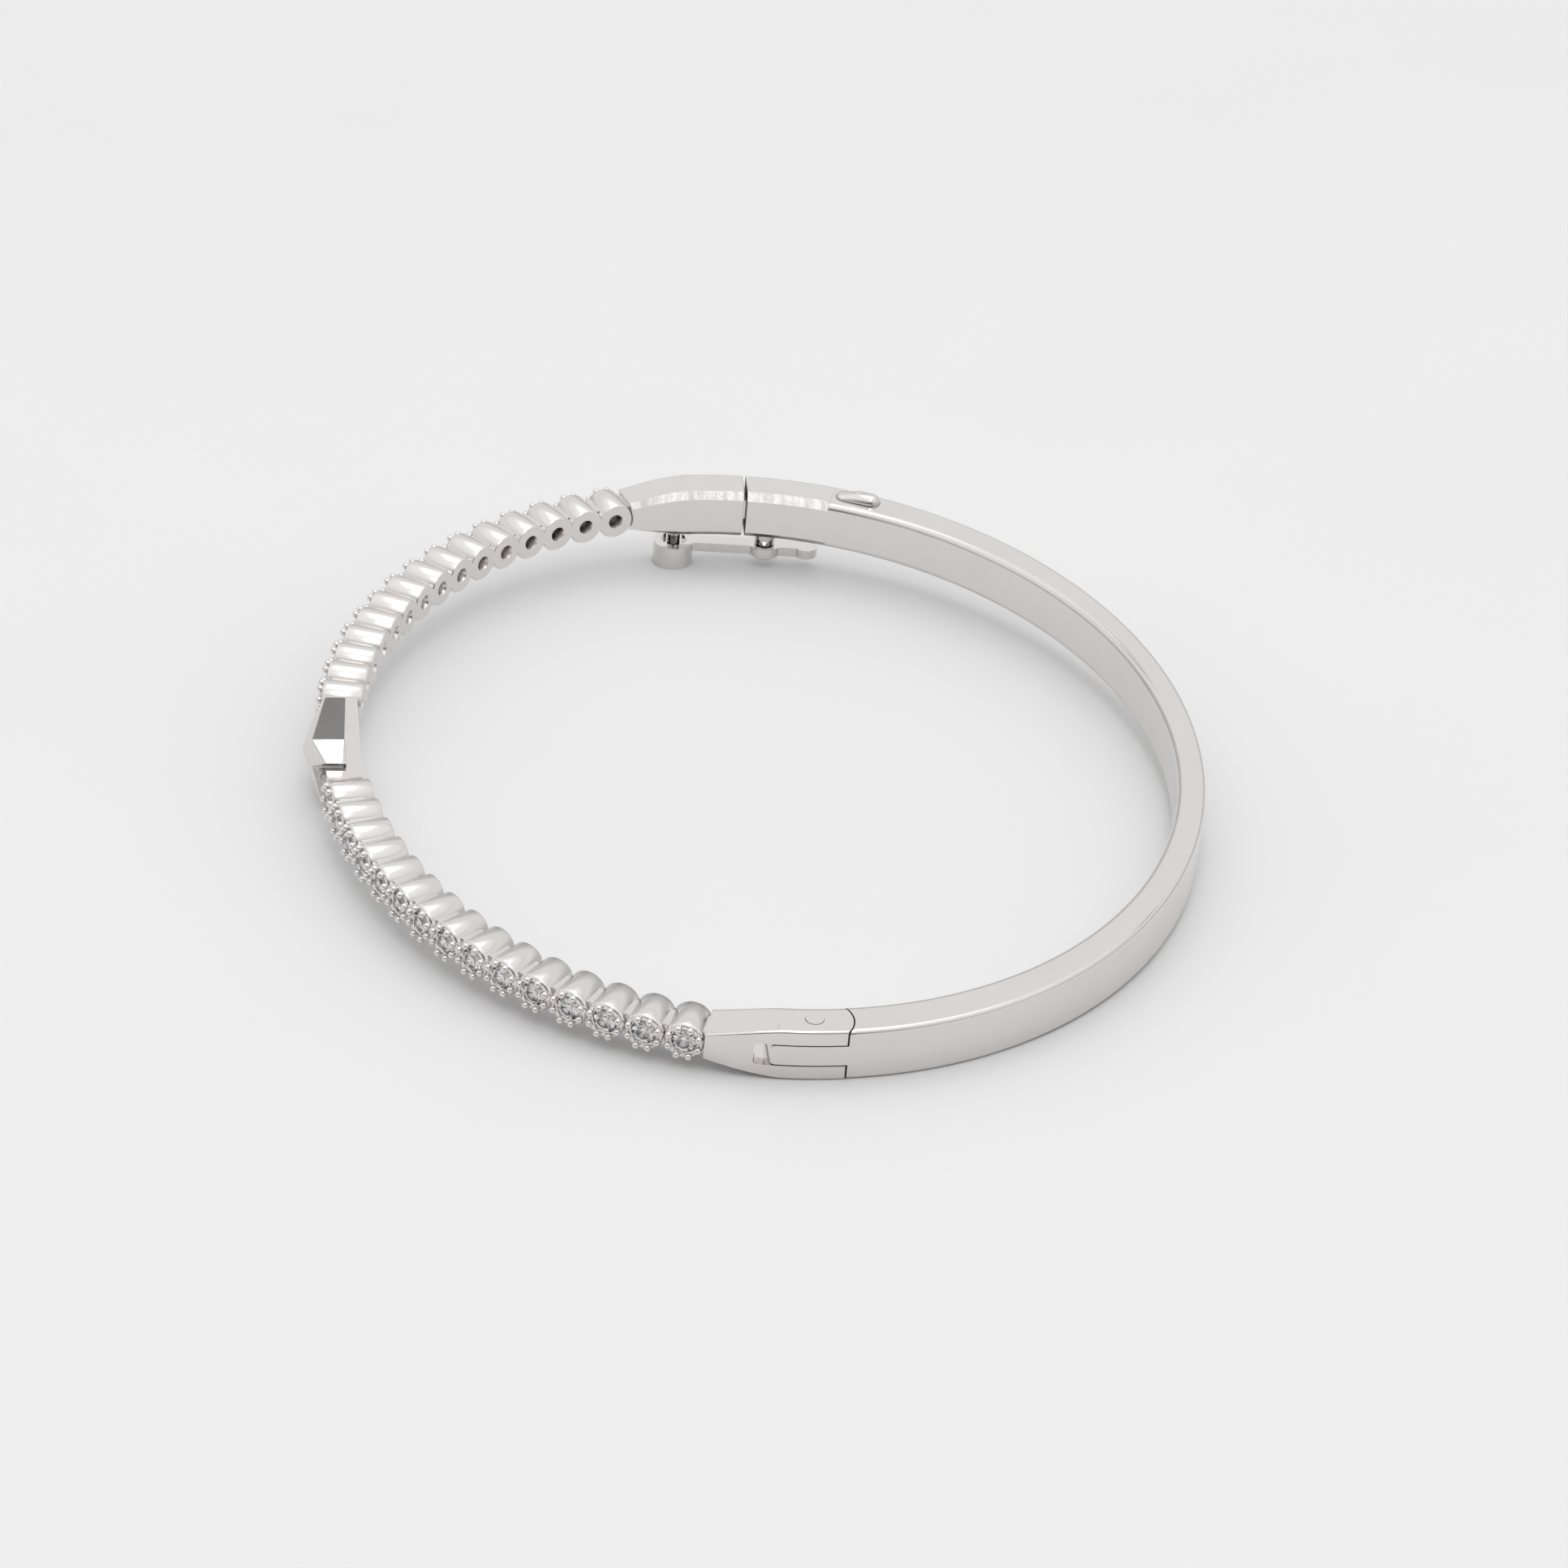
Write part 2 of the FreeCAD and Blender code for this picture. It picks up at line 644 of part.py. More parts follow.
def safety_latch():
    """Thin lever on the rivet, with a deep hook lobe round the peg and a narrow thumb tab."""
    hook, pivot, tab = latch_point(latch_hook), latch_point(latch_pivot), latch_point(latch_tab)
    lobe = latch_point(latch_hook, hook_lobe_inset)
    plate = drum(lobe, hook_lobe_radius, hook_bottom, latch_top)
    plate = plate.fuse(bar(hook, tab, 0, 0, waist_width, latch_bottom, latch_top))
    plate = plate.fuse(drum(pivot, pivot_lobe_radius, latch_bottom, latch_top))
    plate = plate.fuse(drum(tab, tab_lobe_radius, latch_bottom, latch_top)).removeSplitter()
    rims = [e for e in plate.Edges if abs(e.tangentAt(e.FirstParameter).z) < 0.1
            and min(abs(e.CenterOfMass.z - latch_top), abs(e.CenterOfMass.z - hook_bottom)) < 0.01]
    plate = plate.makeFillet(latch_edge, rims).cut(hook_mouth())
    plate = plate.cut(drum(hook, peg_radius + peg_play, hook_bottom - 1, latch_top + 1))
    return plate.cut(drum(pivot, rivet_radius + latch_play, latch_bottom - 1, latch_top + 1))


def latch_rivet():
    """Post under the clasp box: collar, neck through the latch and a head below it."""
    pivot, head_top = latch_point(latch_pivot), latch_bottom - latch_play
    collar = drum(pivot, rivet_collar_radius, latch_top + latch_play, -side_half + post_root)
    neck = drum(pivot, rivet_radius, head_top, latch_top + latch_play)
    head = drum(pivot, rivet_head_radius, head_top - head_thickness, head_top)
    return collar.fuse(neck).fuse(head)


def catch_peg():
    """Peg with a bevelled end under the clasp shoulder that the hook closes round."""
    hook, low = latch_point(latch_hook), hook_bottom + peg_end
    tip = Part.makeCone(peg_radius - peg_taper, peg_radius, peg_taper, Vector(hook.x, hook.y, low))
    return tip.fuse(drum(hook, peg_radius, low + peg_taper, -side_half + post_root))


# ---- write every piece ----------------------------------------------------------------------------------
os.makedirs("parts", exist_ok=True)

back_band, clasp_box = back_parts()
save("back_band", back_band)
save("clasp_box", clasp_box)

hinge_ears, hinge_pin = hinge_parts()
save("hinge_shoulder", hinge_ears)
save("hinge_pin", hinge_pin)
save("clasp_shoulder", clasp_shoulder())
save("clasp_tongue", tongue())

envelopes = []
for side, place in ((-1, "hinge_side"), (1, "clasp_side")):
    row, envelope, stones = setting_row(side)
    save("setting_row_" + place, row)
    envelopes.append(envelope)
    for number, gem in enumerate(stones):
        save("stone_%s_%02d" % (place, number + 1), gem)

save("star", star())
save("star_bridge", star_bridge(envelopes))

save("release_button", release_button())
save("catch_arm", catch_arm())
save("button_spring", button_spring())

save("safety_latch", safety_latch())
save("latch_rivet", latch_rivet())
save("catch_peg", catch_peg())
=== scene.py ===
"""Hinged bangle in polished silver: plain back half, two rows of bead-set collets and a star."""
import math

import bpy
from mathutils import Matrix, Vector


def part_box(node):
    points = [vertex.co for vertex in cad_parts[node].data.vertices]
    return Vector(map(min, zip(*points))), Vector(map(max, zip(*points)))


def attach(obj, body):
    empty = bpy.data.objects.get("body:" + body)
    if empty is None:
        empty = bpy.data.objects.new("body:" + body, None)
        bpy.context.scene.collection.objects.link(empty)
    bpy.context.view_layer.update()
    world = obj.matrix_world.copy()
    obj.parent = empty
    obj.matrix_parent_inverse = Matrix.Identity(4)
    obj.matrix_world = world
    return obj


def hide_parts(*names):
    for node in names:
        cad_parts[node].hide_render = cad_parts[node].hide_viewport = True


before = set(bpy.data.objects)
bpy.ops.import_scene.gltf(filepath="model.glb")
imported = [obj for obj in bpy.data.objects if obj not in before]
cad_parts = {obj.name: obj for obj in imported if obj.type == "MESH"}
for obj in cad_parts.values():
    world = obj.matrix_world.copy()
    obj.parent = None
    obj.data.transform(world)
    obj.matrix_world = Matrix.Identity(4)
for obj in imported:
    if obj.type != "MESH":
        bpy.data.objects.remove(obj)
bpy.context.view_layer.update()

MM = 0.001
ORIGIN = (0.0, 0.0, 0.0)
UP = Vector((0, 0, 1))
CLEAR = 4                                    # how far cutting tools run above and below the band
FLAT_TOP = 0.996                             # a face this nearly level keeps a crisp border

# ---- sizes of the band, read from the frame or stated in millimetres -----------------------------
back_low, back_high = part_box("back_band")
pin_low, pin_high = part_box("hinge_pin")
OUTER_A = back_high.x / MM                   # half the depth, front to back
OUTER_B = -back_low.y / MM                   # half the width, hinge to clasp
BACK_WALL, SIDE_WALL = 1.6, 2.6
INNER_A, INNER_B = OUTER_A - BACK_WALL, OUTER_B - SIDE_WALL
MID_A, MID_B = (OUTER_A + INNER_A) / 2, (OUTER_B + INNER_B) / 2
SIDE_HALF = pin_high.z / MM                  # half the band's height at the hinge
BACK_HALF = back_high.z / MM
PIN = Vector((pin_low.x + pin_high.x, pin_low.y + pin_high.y, 0)) / 2 / MM
PIN_RADIUS = (pin_high.x - pin_low.x) / 2 / MM
BAND_SIDES, SHOULDER_SIDES = 384, 640         # facets round the full oval
INNER_ROUND, TOP_FALL = 0.42, 0.06           # round on the wrist side, fall of the top towards it
BAND_SOFT, BOX_SOFT, SHOULDER_SOFT = 0.26, 0.22, 0.16      # rounds on the outer edges
FILE_CUT = 0.45                               # flat bevel on the wrist side at the clasp
EDGE_BREAK, BOX_EDGE_BREAK = 0.05, 0.045
GROWTH_REACH = 42                             # how far the extra height at the back spreads
SEAM_X, SEAM_GAP, CLASP_GAP = 1.8, 0.12, 0.2
EAR_RADIUS, HINGE_GAP = 2.1, 0.08
PIN_PLAY, EAR_PLAY = 0.04, 0.025             # round the hinge pin in the knuckle and in the ears
KNUCKLE_HALF, KNUCKLE_LENGTH, KNUCKLE_CORNER, KNUCKLE_ROOT = 0.61, 4.25, 0.28, 0.9
SLOT_HALF, SLOT_LENGTH, SLOT_CORNER = 0.68, 5.15, 0.25
SHOULDER_LENGTH, SHOULDER_FLAT, SHOULDER_END_HALF = 7.5, 3.6, 0.85
TAPER_POWER, TAPER_LIMIT = 1.35, 1.25
BOX_LENGTH = 5.6
SPARE = 1.2                                   # extra length cut away once a piece has its shape

# collets, star and clasp
STONES, COLLET_DEPTH, COLLET_RADIUS = 15, 2.5, 1.12
COLLET_PLAY, CULET_HOLE = 0.01, 0.36
COLLET_CUT_LOW, COLLET_CUT_HIGH, CULET_CUT_HIGH = -3.2, 1.0, 0.6
BEADS, BEAD_RADIUS, BEAD_CIRCLE = 8, 0.215, 0.885
RAIL_SINK, RAIL_HALF = 0.5, 0.65
SPACER_START, SPACER_END = 3.35, 4.45
BRIDGE_THICKNESS, BRIDGE_HALF = 0.9, 0.8
STAR_BACK, STAR_RADIUS = -24.1, 3.5
STAR_TIP, STAR_NOTCH, STAR_MIDDLE = 1.2, 1.9, 2.4
BUTTON_PLACE, BUTTON_LENGTH, BUTTON_WIDTH = 7.2, 2.8, 1.2
BUTTON_TOP, BUTTON_UNDER, POCKET_FLOOR, BUTTON_SHIFT = 2.1, 1.25, 0.45, 0.2
BUTTON_BROW, BROW_SHARE = 1.6, 0.45           # where the dome begins, share of it left at its low end
DOME_STEPS = (90, 72, 54, 38, 24, 12)         # degrees from the dome's middle to its rim
WELL_PLAY, POCKET_PLAY, POCKET_STEP = 0.12, 0.05, 0.85
STEM_RADIUS, STEM_HOLE, STEM_LOW, STEM_HOLE_LOW = 0.32, 0.37, -0.85, -1.25
TONGUE_ROOM, TONGUE_ROOM_IN, TONGUE_ROOM_OUT = 1.16, 4.28, 1.0
TONGUE_ROOM_LOW, TONGUE_ROOM_HIGH, TONGUE_INSET = -0.5, 0.93, 0.25
CATCH_PLACE, CATCH_BEFORE, CATCH_AFTER, CATCH_WIDTH = 2.9, 0.42, 0.56, 0.94
CATCH_LOW, CATCH_HIGH = -1.25, -0.15
LATCH_TOP, LATCH_THICKNESS, HOOK_DEPTH = -2.5, 0.6, 1.45
LATCH_PIVOT, LATCH_HOOK, LATCH_TAB = 1.6, -4.1, 4.2
HOOK_LOBE, HOOK_INSET, PIVOT_LOBE, TAB_LOBE, WAIST = 1.25, 0.25, 1.0, 0.75, 0.95
MOUTH_WIDTH, MOUTH_SWEEP, HOOK_BORE, CUP_RADIUS, CUP_DEPTH = 1.0, 30, 0.5, 0.8, 0.3
PIVOT_BORE, LATCH_ROUND, LATCH_PLAY, POST_ROOT = 0.47, 0.14, 0.05, 0.35
RIVET_RADIUS, RIVET_COLLAR, RIVET_HEAD, RIVET_HEAD_DEPTH = 0.42, 0.62, 0.8, 0.25
PEG_RADIUS, PEG_END = 0.4, 0.15


# ---- places along the band -----------------------------------------------------------------------
def on_middle(angle):
    """Point on the middle of the wall."""
    return Vector((MID_A * math.cos(angle), MID_B * math.sin(angle), 0))


def along_band(angle):
    """Direction of the middle of the wall as the angle grows."""
    return Vector((-MID_A * math.sin(angle), MID_B * math.cos(angle), 0)).normalized()


def outward(angle):
    """Direction away from the wrist, square to the wall."""
    run = along_band(angle)
    return Vector((run.y, -run.x, 0))


def walk(angle, distance, steps=400):
    """Angle reached after going a distance along the middle of the wall."""
    step = distance / steps
    for _ in range(steps):
        speed = math.hypot(MID_A * math.sin(angle), MID_B * math.cos(angle))
        trial = angle + step / speed / 2
        angle += step / math.hypot(MID_A * math.sin(trial), MID_B * math.cos(trial))
    return angle


CLASP_ANGLE = math.acos(SEAM_X / MID_A)
CLASP = on_middle(CLASP_ANGLE)
CLASP_LINE = (CLASP - PIN).normalized()
CLASP_BEARING = math.atan2(CLASP_LINE.y, CLASP_LINE.x)
CLASP_REACH = (CLASP - PIN).length - TONGUE_INSET
SEAM_FACE = CLASP_LINE.cross(UP)             # the way the clasp's seam faces
BOX_ANGLE = walk(CLASP_ANGLE, -BOX_LENGTH)
BUTTON_ANGLE = walk(CLASP_ANGLE, -BUTTON_PLACE)


def clasp_point(distance, inset=0.0):
    """Point under the clasp, along the band from its seam towards the back half, moved to the wrist."""
    return CLASP - along_band(CLASP_ANGLE) * distance - outward(CLASP_ANGLE) * inset


# ---- hand tools ----------------------------------------------------------------------------------
def only(piece):
    """Leave edit mode and select one piece, alone and active."""
    if bpy.context.mode != "OBJECT":
        bpy.ops.object.mode_set(mode="OBJECT")
    bpy.ops.object.select_all(action="DESELECT")
    piece.select_set(True)
    bpy.context.view_layer.objects.active = piece


def open_mesh(piece):
    """Open a piece in edit mode, ready to pick points."""
    only(piece)
    bpy.ops.object.mode_set(mode="EDIT")
    bpy.ops.mesh.select_mode(type="VERT")


def close_mesh():
    """Leave edit mode, so the mesh takes up what was done."""
    bpy.ops.object.mode_set(mode="OBJECT")


def pick_points(piece, test):
    """Select the points of a piece that pass a test on their place in millimetres."""
    open_mesh(piece)
    bpy.ops.mesh.select_all(action="DESELECT")
    close_mesh()
    for point in piece.data.vertices:
        point.select = test(point.co / MM)
    open_mesh(piece)


def pick_edges(piece, test):
    """Select the edges whose two ends, in millimetres, pass a test."""
    open_mesh(piece)
    bpy.ops.mesh.select_all(action="DESELECT")
    bpy.ops.mesh.select_mode(type="EDGE")
    close_mesh()
    points = piece.data.vertices
    for edge in piece.data.edges:
        edge.select = test(points[edge.vertices[0]].co / MM, points[edge.vertices[1]].co / MM)
    only(piece)
    bpy.ops.object.mode_set(mode="EDIT")


def ring_stack(name, sides, rings, hoop=False):
    """Shape drawn up from one circle through rings of (x radius, y radius, height)."""
    bpy.ops.object.select_all(action="DESELECT")
    wide, deep, height = rings[0]
    bpy.ops.mesh.primitive_circle_add(vertices=sides, radius=deep * MM,
                                      fill_type="NOTHING" if hoop else "NGON")
    piece = bpy.context.object
    piece.name = name
    open_mesh(piece)
    bpy.ops.mesh.select_all(action="SELECT")
    bpy.ops.transform.resize(value=(wide / deep, 1, 1), center_override=ORIGIN)
    bpy.ops.transform.translate(value=(0, 0, height * MM))
    for ring in rings[1:]:
        rise = {"value": (0, 0, (ring[2] - height) * MM)}
        if hoop:
            bpy.ops.mesh.extrude_edges_move(TRANSFORM_OT_translate=rise)
        else:
            bpy.ops.mesh.extrude_region_move(TRANSFORM_OT_translate=rise)
        bpy.ops.transform.resize(value=(ring[0] / wide, ring[1] / deep, 1), center_override=ORIGIN)
        wide, deep, height = ring
    bpy.ops.mesh.select_all(action="SELECT")
    if hoop:
        bpy.ops.mesh.remove_doubles(threshold=0.001 * MM)
    bpy.ops.mesh.normals_make_consistent(inside=False)
    close_mesh()
    return piece


def slice_off(piece, point, normal, near=None):
    """Cut a piece by a plane and drop what lies beyond it, only where its points pass a test."""
    pick_points(piece, near or (lambda p: True))
    bpy.ops.mesh.bisect(plane_co=Vector(point) * MM, plane_no=normal, use_fill=True, clear_outer=True,
                        threshold=0.00001 * MM)
    close_mesh()


def block(name, low, high):
    """Box between two corners."""
    bpy.ops.object.select_all(action="DESELECT")
    middle = (Vector(low) + Vector(high)) / 2
    bpy.ops.mesh.primitive_cube_add(size=MM)
    piece = bpy.context.object
    piece.name = name
    open_mesh(piece)
    bpy.ops.mesh.select_all(action="SELECT")
    bpy.ops.transform.resize(value=Vector(high) - Vector(low), center_override=ORIGIN)
    bpy.ops.transform.translate(value=middle * MM)
    close_mesh()
    return piece


def drum(name, centre, radius, low, high, sides=64):
    """Upright cylinder about a point in plan."""
    piece = ring_stack(name, sides, [(radius, radius, low), (radius, radius, high)])
    return shift(piece, (centre[0], centre[1], 0))


def shift(piece, move):
    """Move a piece's mesh by millimetres, leaving its origin."""
    open_mesh(piece)
    bpy.ops.mesh.select_all(action="SELECT")
    bpy.ops.transform.translate(value=Vector(move) * MM)
    close_mesh()
    return piece


def put(piece, turn, place):
    """Turn and place a shape that was made about the origin, keeping the place in its mesh."""
    only(piece)
    piece.matrix_world = Matrix.Translation(Vector(place) * MM) @ turn.to_4x4()
    bpy.ops.object.transform_apply(location=True, rotation=True, scale=True)
    return piece


def facing(angle):
    """Turn that brings +Z outwards from the band and +Y upright."""
    out = outward(angle)
    return Matrix((UP.cross(out), UP, out)).transposed()


def lying(angle):
    """Turn that brings +X outwards from the band and keeps +Z upright."""
    out = outward(angle)
    return Matrix((out, UP.cross(out), UP)).transposed()


def combine(piece, tool, how="DIFFERENCE"):
    """Cut a tool shape out of a piece, or weld it on, and throw the tool away."""
    only(piece)
    step = piece.modifiers.new("work", "BOOLEAN")
    step.operation, step.solver, step.object = how, "EXACT", tool
    bpy.ops.object.modifier_apply(modifier=step.name)
    bpy.data.objects.remove(tool, do_unlink=True)
    return piece


def break_edges(piece, width, segments=2, limit=50):
    """Take the sharpness off every edge steeper than a limit."""
    only(piece)
    step = piece.modifiers.new("edges", "BEVEL")
    step.width, step.segments = width * MM, segments
    step.limit_method, step.angle_limit = "ANGLE", math.radians(limit)
    step.use_clamp_overlap = True
    step.harden_normals = False
    bpy.ops.object.modifier_apply(modifier=step.name)
    return piece


def polish(piece, angle=32):
    """Smooth shading that keeps true edges crisp and flat faces flat."""
    only(piece)
    bpy.ops.object.shade_smooth_by_angle(angle=math.radians(angle))
    for face in piece.data.polygons:
        face.select = abs(face.normal.z) > FLAT_TOP
    bpy.ops.object.mode_set(mode="EDIT")
    bpy.ops.mesh.select_mode(type="FACE")
    bpy.ops.mesh.region_to_loop()
    bpy.ops.mesh.mark_sharp()
    bpy.ops.object.mode_set(mode="OBJECT")
    step = piece.modifiers.new("normals", "WEIGHTED_NORMAL")
    step.keep_sharp, step.weight = True, 90
    bpy.ops.object.modifier_apply(modifier=step.name)
    return piece


def copy_of(piece, name):
    """Copy a piece with a mesh of its own."""
    only(piece)
    bpy.ops.object.duplicate(linked=False)
    twin = bpy.context.object
    twin.name = name
    return twin


def join(pieces, name):
    """Make several shapes one piece."""
    only(pieces[0])
    for piece in pieces[1:]:
        piece.select_set(True)
    bpy.ops.object.join()
    whole = bpy.context.object
    whole.name = name
    return whole


# ---- the band ------------------------------------------------------------------------------------
def quarter(radius, steps, start):
    """Points of a quarter round, as (inset, height) about its centre, from a starting angle."""
    turns = [math.radians(start + 90 * i / steps) for i in range(steps + 1)]
    return [(radius * math.cos(t), radius * math.sin(t)) for t in turns]


def band_hoop(name, sides, soft, rounding, dip, bright_cut=False):
    """Full oval hoop of the band's section, its top sloping inwards.

    The inner edges are either rounded or cut with one flat bevel."""
    rings = []
    for across, up in quarter(soft, 5, 0):
        rings.append((OUTER_A - soft + across, OUTER_B - soft + across, SIDE_HALF - soft + up))
    top = SIDE_HALF - dip
    inner = [(rounding, top), (0, top - rounding)]
    if not bright_cut:
        inner = [(rounding + x, top - rounding + z) for x, z in quarter(rounding, 5, 90)]
    rings += [(INNER_A + x, INNER_B + x, z) for x, z in inner]
    rings += [(a, b, -z) for a, b, z in reversed(rings)]
    rings.append(rings[0])
    return ring_stack(name, sides, rings, hoop=True)


def grow_back(piece):
    """Raise the height smoothly from the hinge and clasp to the middle of the back."""
    pick_points(piece, lambda p: p.x > 0 and abs(p.y) < 0.6)
    bpy.ops.transform.resize(value=(1, 1, BACK_HALF / SIDE_HALF), center_override=ORIGIN,
                             use_proportional_edit=True, proportional_edit_falloff="SMOOTH",
                             proportional_size=GROWTH_REACH * MM)
    close_mesh()


def sheet_ring(name, sink, depth, half, sides=288):
    """Plain hoop between two depths below the outer oval."""
    outer = (OUTER_A - sink, OUTER_B - sink)
    inner = (OUTER_A - depth, OUTER_B - depth)
    rings = [(*outer, -half), (*outer, half), (*inner, half), (*inner, -half), (*outer, -half)]
    return ring_stack(name, sides, rings, hoop=True)


def keep_between(piece, start, end):
    """Keep the stretch of a hoop between two angles, going anticlockwise from start."""
    slice_off(piece, on_middle(start), -along_band(start))
    slice_off(piece, on_middle(end), along_band(end))


def swept_bar(name, centre, radius, width, first, last, low, high):
    """Bar of even section swept about an upright axis between two bearings."""
    bpy.ops.object.select_all(action="DESELECT")
    bpy.ops.mesh.primitive_plane_add(size=MM)
    piece = bpy.context.object
    piece.name = name
    open_mesh(piece)
    bpy.ops.mesh.select_all(action="SELECT")
    bpy.ops.transform.resize(value=(width, high - low, 1), center_override=ORIGIN)
    close_mesh()
    side = Vector((math.cos(first), math.sin(first), 0))
    turn = Matrix((side, UP, side.cross(UP))).transposed()
    put(piece, turn, centre + side * radius + Vector((0, 0, (low + high) / 2)))
    open_mesh(piece)
    bpy.ops.mesh.select_all(action="SELECT")
    bpy.ops.mesh.spin(steps=16, angle=first - last, center=centre * MM, axis=(0, 0, 1))
    bpy.ops.mesh.select_all(action="SELECT")
    bpy.ops.mesh.remove_doubles(threshold=0.001 * MM)
    bpy.ops.mesh.normals_make_consistent(inside=False)
    close_mesh()
    return piece


def plan_bar(name, start, end, before, after, width, low, high):
    """Straight bar in plan between two points, run on past both."""
    run = (end - start).normalized()
    length = (end - start).length
    piece = block(name, (-before, -width / 2, low), (length + after, width / 2, high))
    turn = Matrix((run, Vector((-run.y, run.x, 0)), UP)).transposed()
    return put(piece, turn, start)


def oval_plate(name, length, width, rings):
    """Stadium outline drawn up through (inset, height) steps, long side along Y."""
    radius, run = width / 2, (length - width) / 2
    piece = ring_stack(name, 64, [(radius - s, radius - s, h) for s, h in rings])
    pick_points(piece, lambda p: p.y > 0.0001)
    bpy.ops.transform.translate(value=(0, run * MM, 0))
    pick_points(piece, lambda p: p.y < -0.0001)
    bpy.ops.transform.translate(value=(0, -run * MM, 0))
    close_mesh()
    return piece


def catch_channel():
    """Room for the catch arm, from the tongue's tooth to the button's stem."""
    bearing = CLASP_BEARING - CATCH_PLACE / CLASP_REACH
    tooth = PIN + Vector((math.cos(bearing), math.sin(bearing), 0)) * CLASP_REACH
    return plan_bar("channel", tooth, on_middle(BUTTON_ANGLE), CATCH_BEFORE, CATCH_AFTER, CATCH_WIDTH,
                    CATCH_LOW, CATCH_HIGH)


def round_end(tool, end, corner):
    """Round the two edges at a box's end where the hinge's slot or knuckle ends."""
    pick_edges(tool, lambda p, q: abs(p.x - end) + abs(q.x - end) < 0.01 and p.z * q.z > 0)
    bpy.ops.mesh.bevel(offset=corner * MM, segments=5, affect="EDGES")
    close_mesh()
    return tool


def knuckle():
    """Flat tongue of the back half that turns on the pin."""
    piece = sheet_ring("knuckle", 0, SIDE_WALL, SIDE_HALF - 0.2, sides=480)
    slice_off(piece, (SEAM_X + KNUCKLE_ROOT, 0, 0), (1, 0, 0))
    slice_off(piece, ORIGIN, (0, 1, 0))
    tip = SEAM_X - KNUCKLE_LENGTH
    outline = block("outline", (tip, -36, -KNUCKLE_HALF), (10, -20, KNUCKLE_HALF))
    return combine(piece, round_end(outline, tip, KNUCKLE_CORNER), "INTERSECT")


def make_back_half(silver, cut, painted_recess_shade):
    """The bar with the hinge's knuckle and the button's well, and the clasp box soldered on its end."""
    hoop = band_hoop("back_half_band", BAND_SIDES, BAND_SOFT, INNER_ROUND, TOP_FALL)
    box = band_hoop("clasp_mouth_box", BAND_SIDES, BOX_SOFT, FILE_CUT, 0.0, bright_cut=True)
    grow_back(hoop)
    grow_back(box)

    slice_off(hoop, (PIN.x + SEAM_GAP, 0, 0), (-1, 0, 0), lambda p: p.y < 5)
    slice_off(hoop, on_middle(BOX_ANGLE), along_band(BOX_ANGLE), lambda p: p.y > 0)
    combine(hoop, drum("ear_room", PIN, EAR_RADIUS + HINGE_GAP, -CLEAR, CLEAR, 128))
    break_edges(hoop, EDGE_BREAK)
    combine(hoop, knuckle(), "UNION")
    combine(hoop, drum("pin_hole", PIN, PIN_RADIUS + PIN_PLAY, -CLEAR, CLEAR))
    spot, turn = on_middle(BUTTON_ANGLE), lying(BUTTON_ANGLE)
    well = oval_plate("well", BUTTON_LENGTH + WELL_PLAY, BUTTON_WIDTH + WELL_PLAY,
                      [(0, POCKET_FLOOR), (0, BUTTON_UNDER)])
    combine(hoop, put(well, turn, spot))
    pocket = oval_plate("pocket", BUTTON_LENGTH + POCKET_PLAY, BUTTON_WIDTH + POCKET_PLAY,
                        [(0, POCKET_STEP), (0, CLEAR)])
    combine(hoop, put(pocket, turn, spot + outward(BUTTON_ANGLE) * BUTTON_SHIFT))
    combine(hoop, drum("stem_hole", spot, STEM_HOLE, STEM_HOLE_LOW, CLEAR, 32))
    combine(hoop, catch_channel())

    slice_off(box, CLASP + Vector((CLASP_GAP, 0, 0)), -SEAM_FACE)
    slice_off(box, on_middle(BOX_ANGLE), -along_band(BOX_ANGLE))
    slice_off(box, ORIGIN, (0, -1, 0))
    combine(box, swept_bar("tongue_room", PIN, CLASP_REACH, TONGUE_ROOM,
                           CLASP_BEARING - TONGUE_ROOM_IN / CLASP_REACH,
                           CLASP_BEARING + TONGUE_ROOM_OUT / CLASP_REACH, TONGUE_ROOM_LOW, TONGUE_ROOM_HIGH))
    combine(box, catch_channel())
    break_edges(box, BOX_EDGE_BREAK)
    for piece, node in ((hoop, "back_band"), (box, "clasp_box")):
        polish(piece)
        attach(piece, "back_half")
        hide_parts(node)
        finish(piece, silver)
    bright_cut_faces(box, cut)
    # painted shade on the clasp box's seam face and the faces just inside it
    paint_shade_on_faces(box, painted_recess_shade, near_seam(0.3))

    def inside_hinge(p, n):
        """Flanks of the knuckle and the hollow that the ears turn in."""
        flank = abs(n.z) > 0.8 and abs(p.z) < KNUCKLE_HALF + 0.02
        hollow = abs(n.z) < 0.2 and p.x > 0 and (p - PIN).xy.length < EAR_RADIUS + 0.3
        return p.x < SEAM_X + 0.55 and p.y < 0 and abs(n.y) < 0.85 and (flank or hollow)

    # painted shade on the knuckle's flanks and the hollow that the ears turn in
    paint_shade_on_faces(hoop, painted_recess_shade, inside_hinge)


def shoulder_half_height(run):
    """Half height of a shoulder at a distance past the seam along x."""
    if run < SHOULDER_FLAT:
        return SIDE_HALF
    share = min((run - SHOULDER_FLAT) / (SHOULDER_LENGTH - SHOULDER_FLAT), TAPER_LIMIT)
    return SIDE_HALF - (SIDE_HALF - SHOULDER_END_HALF) * share ** TAPER_POWER


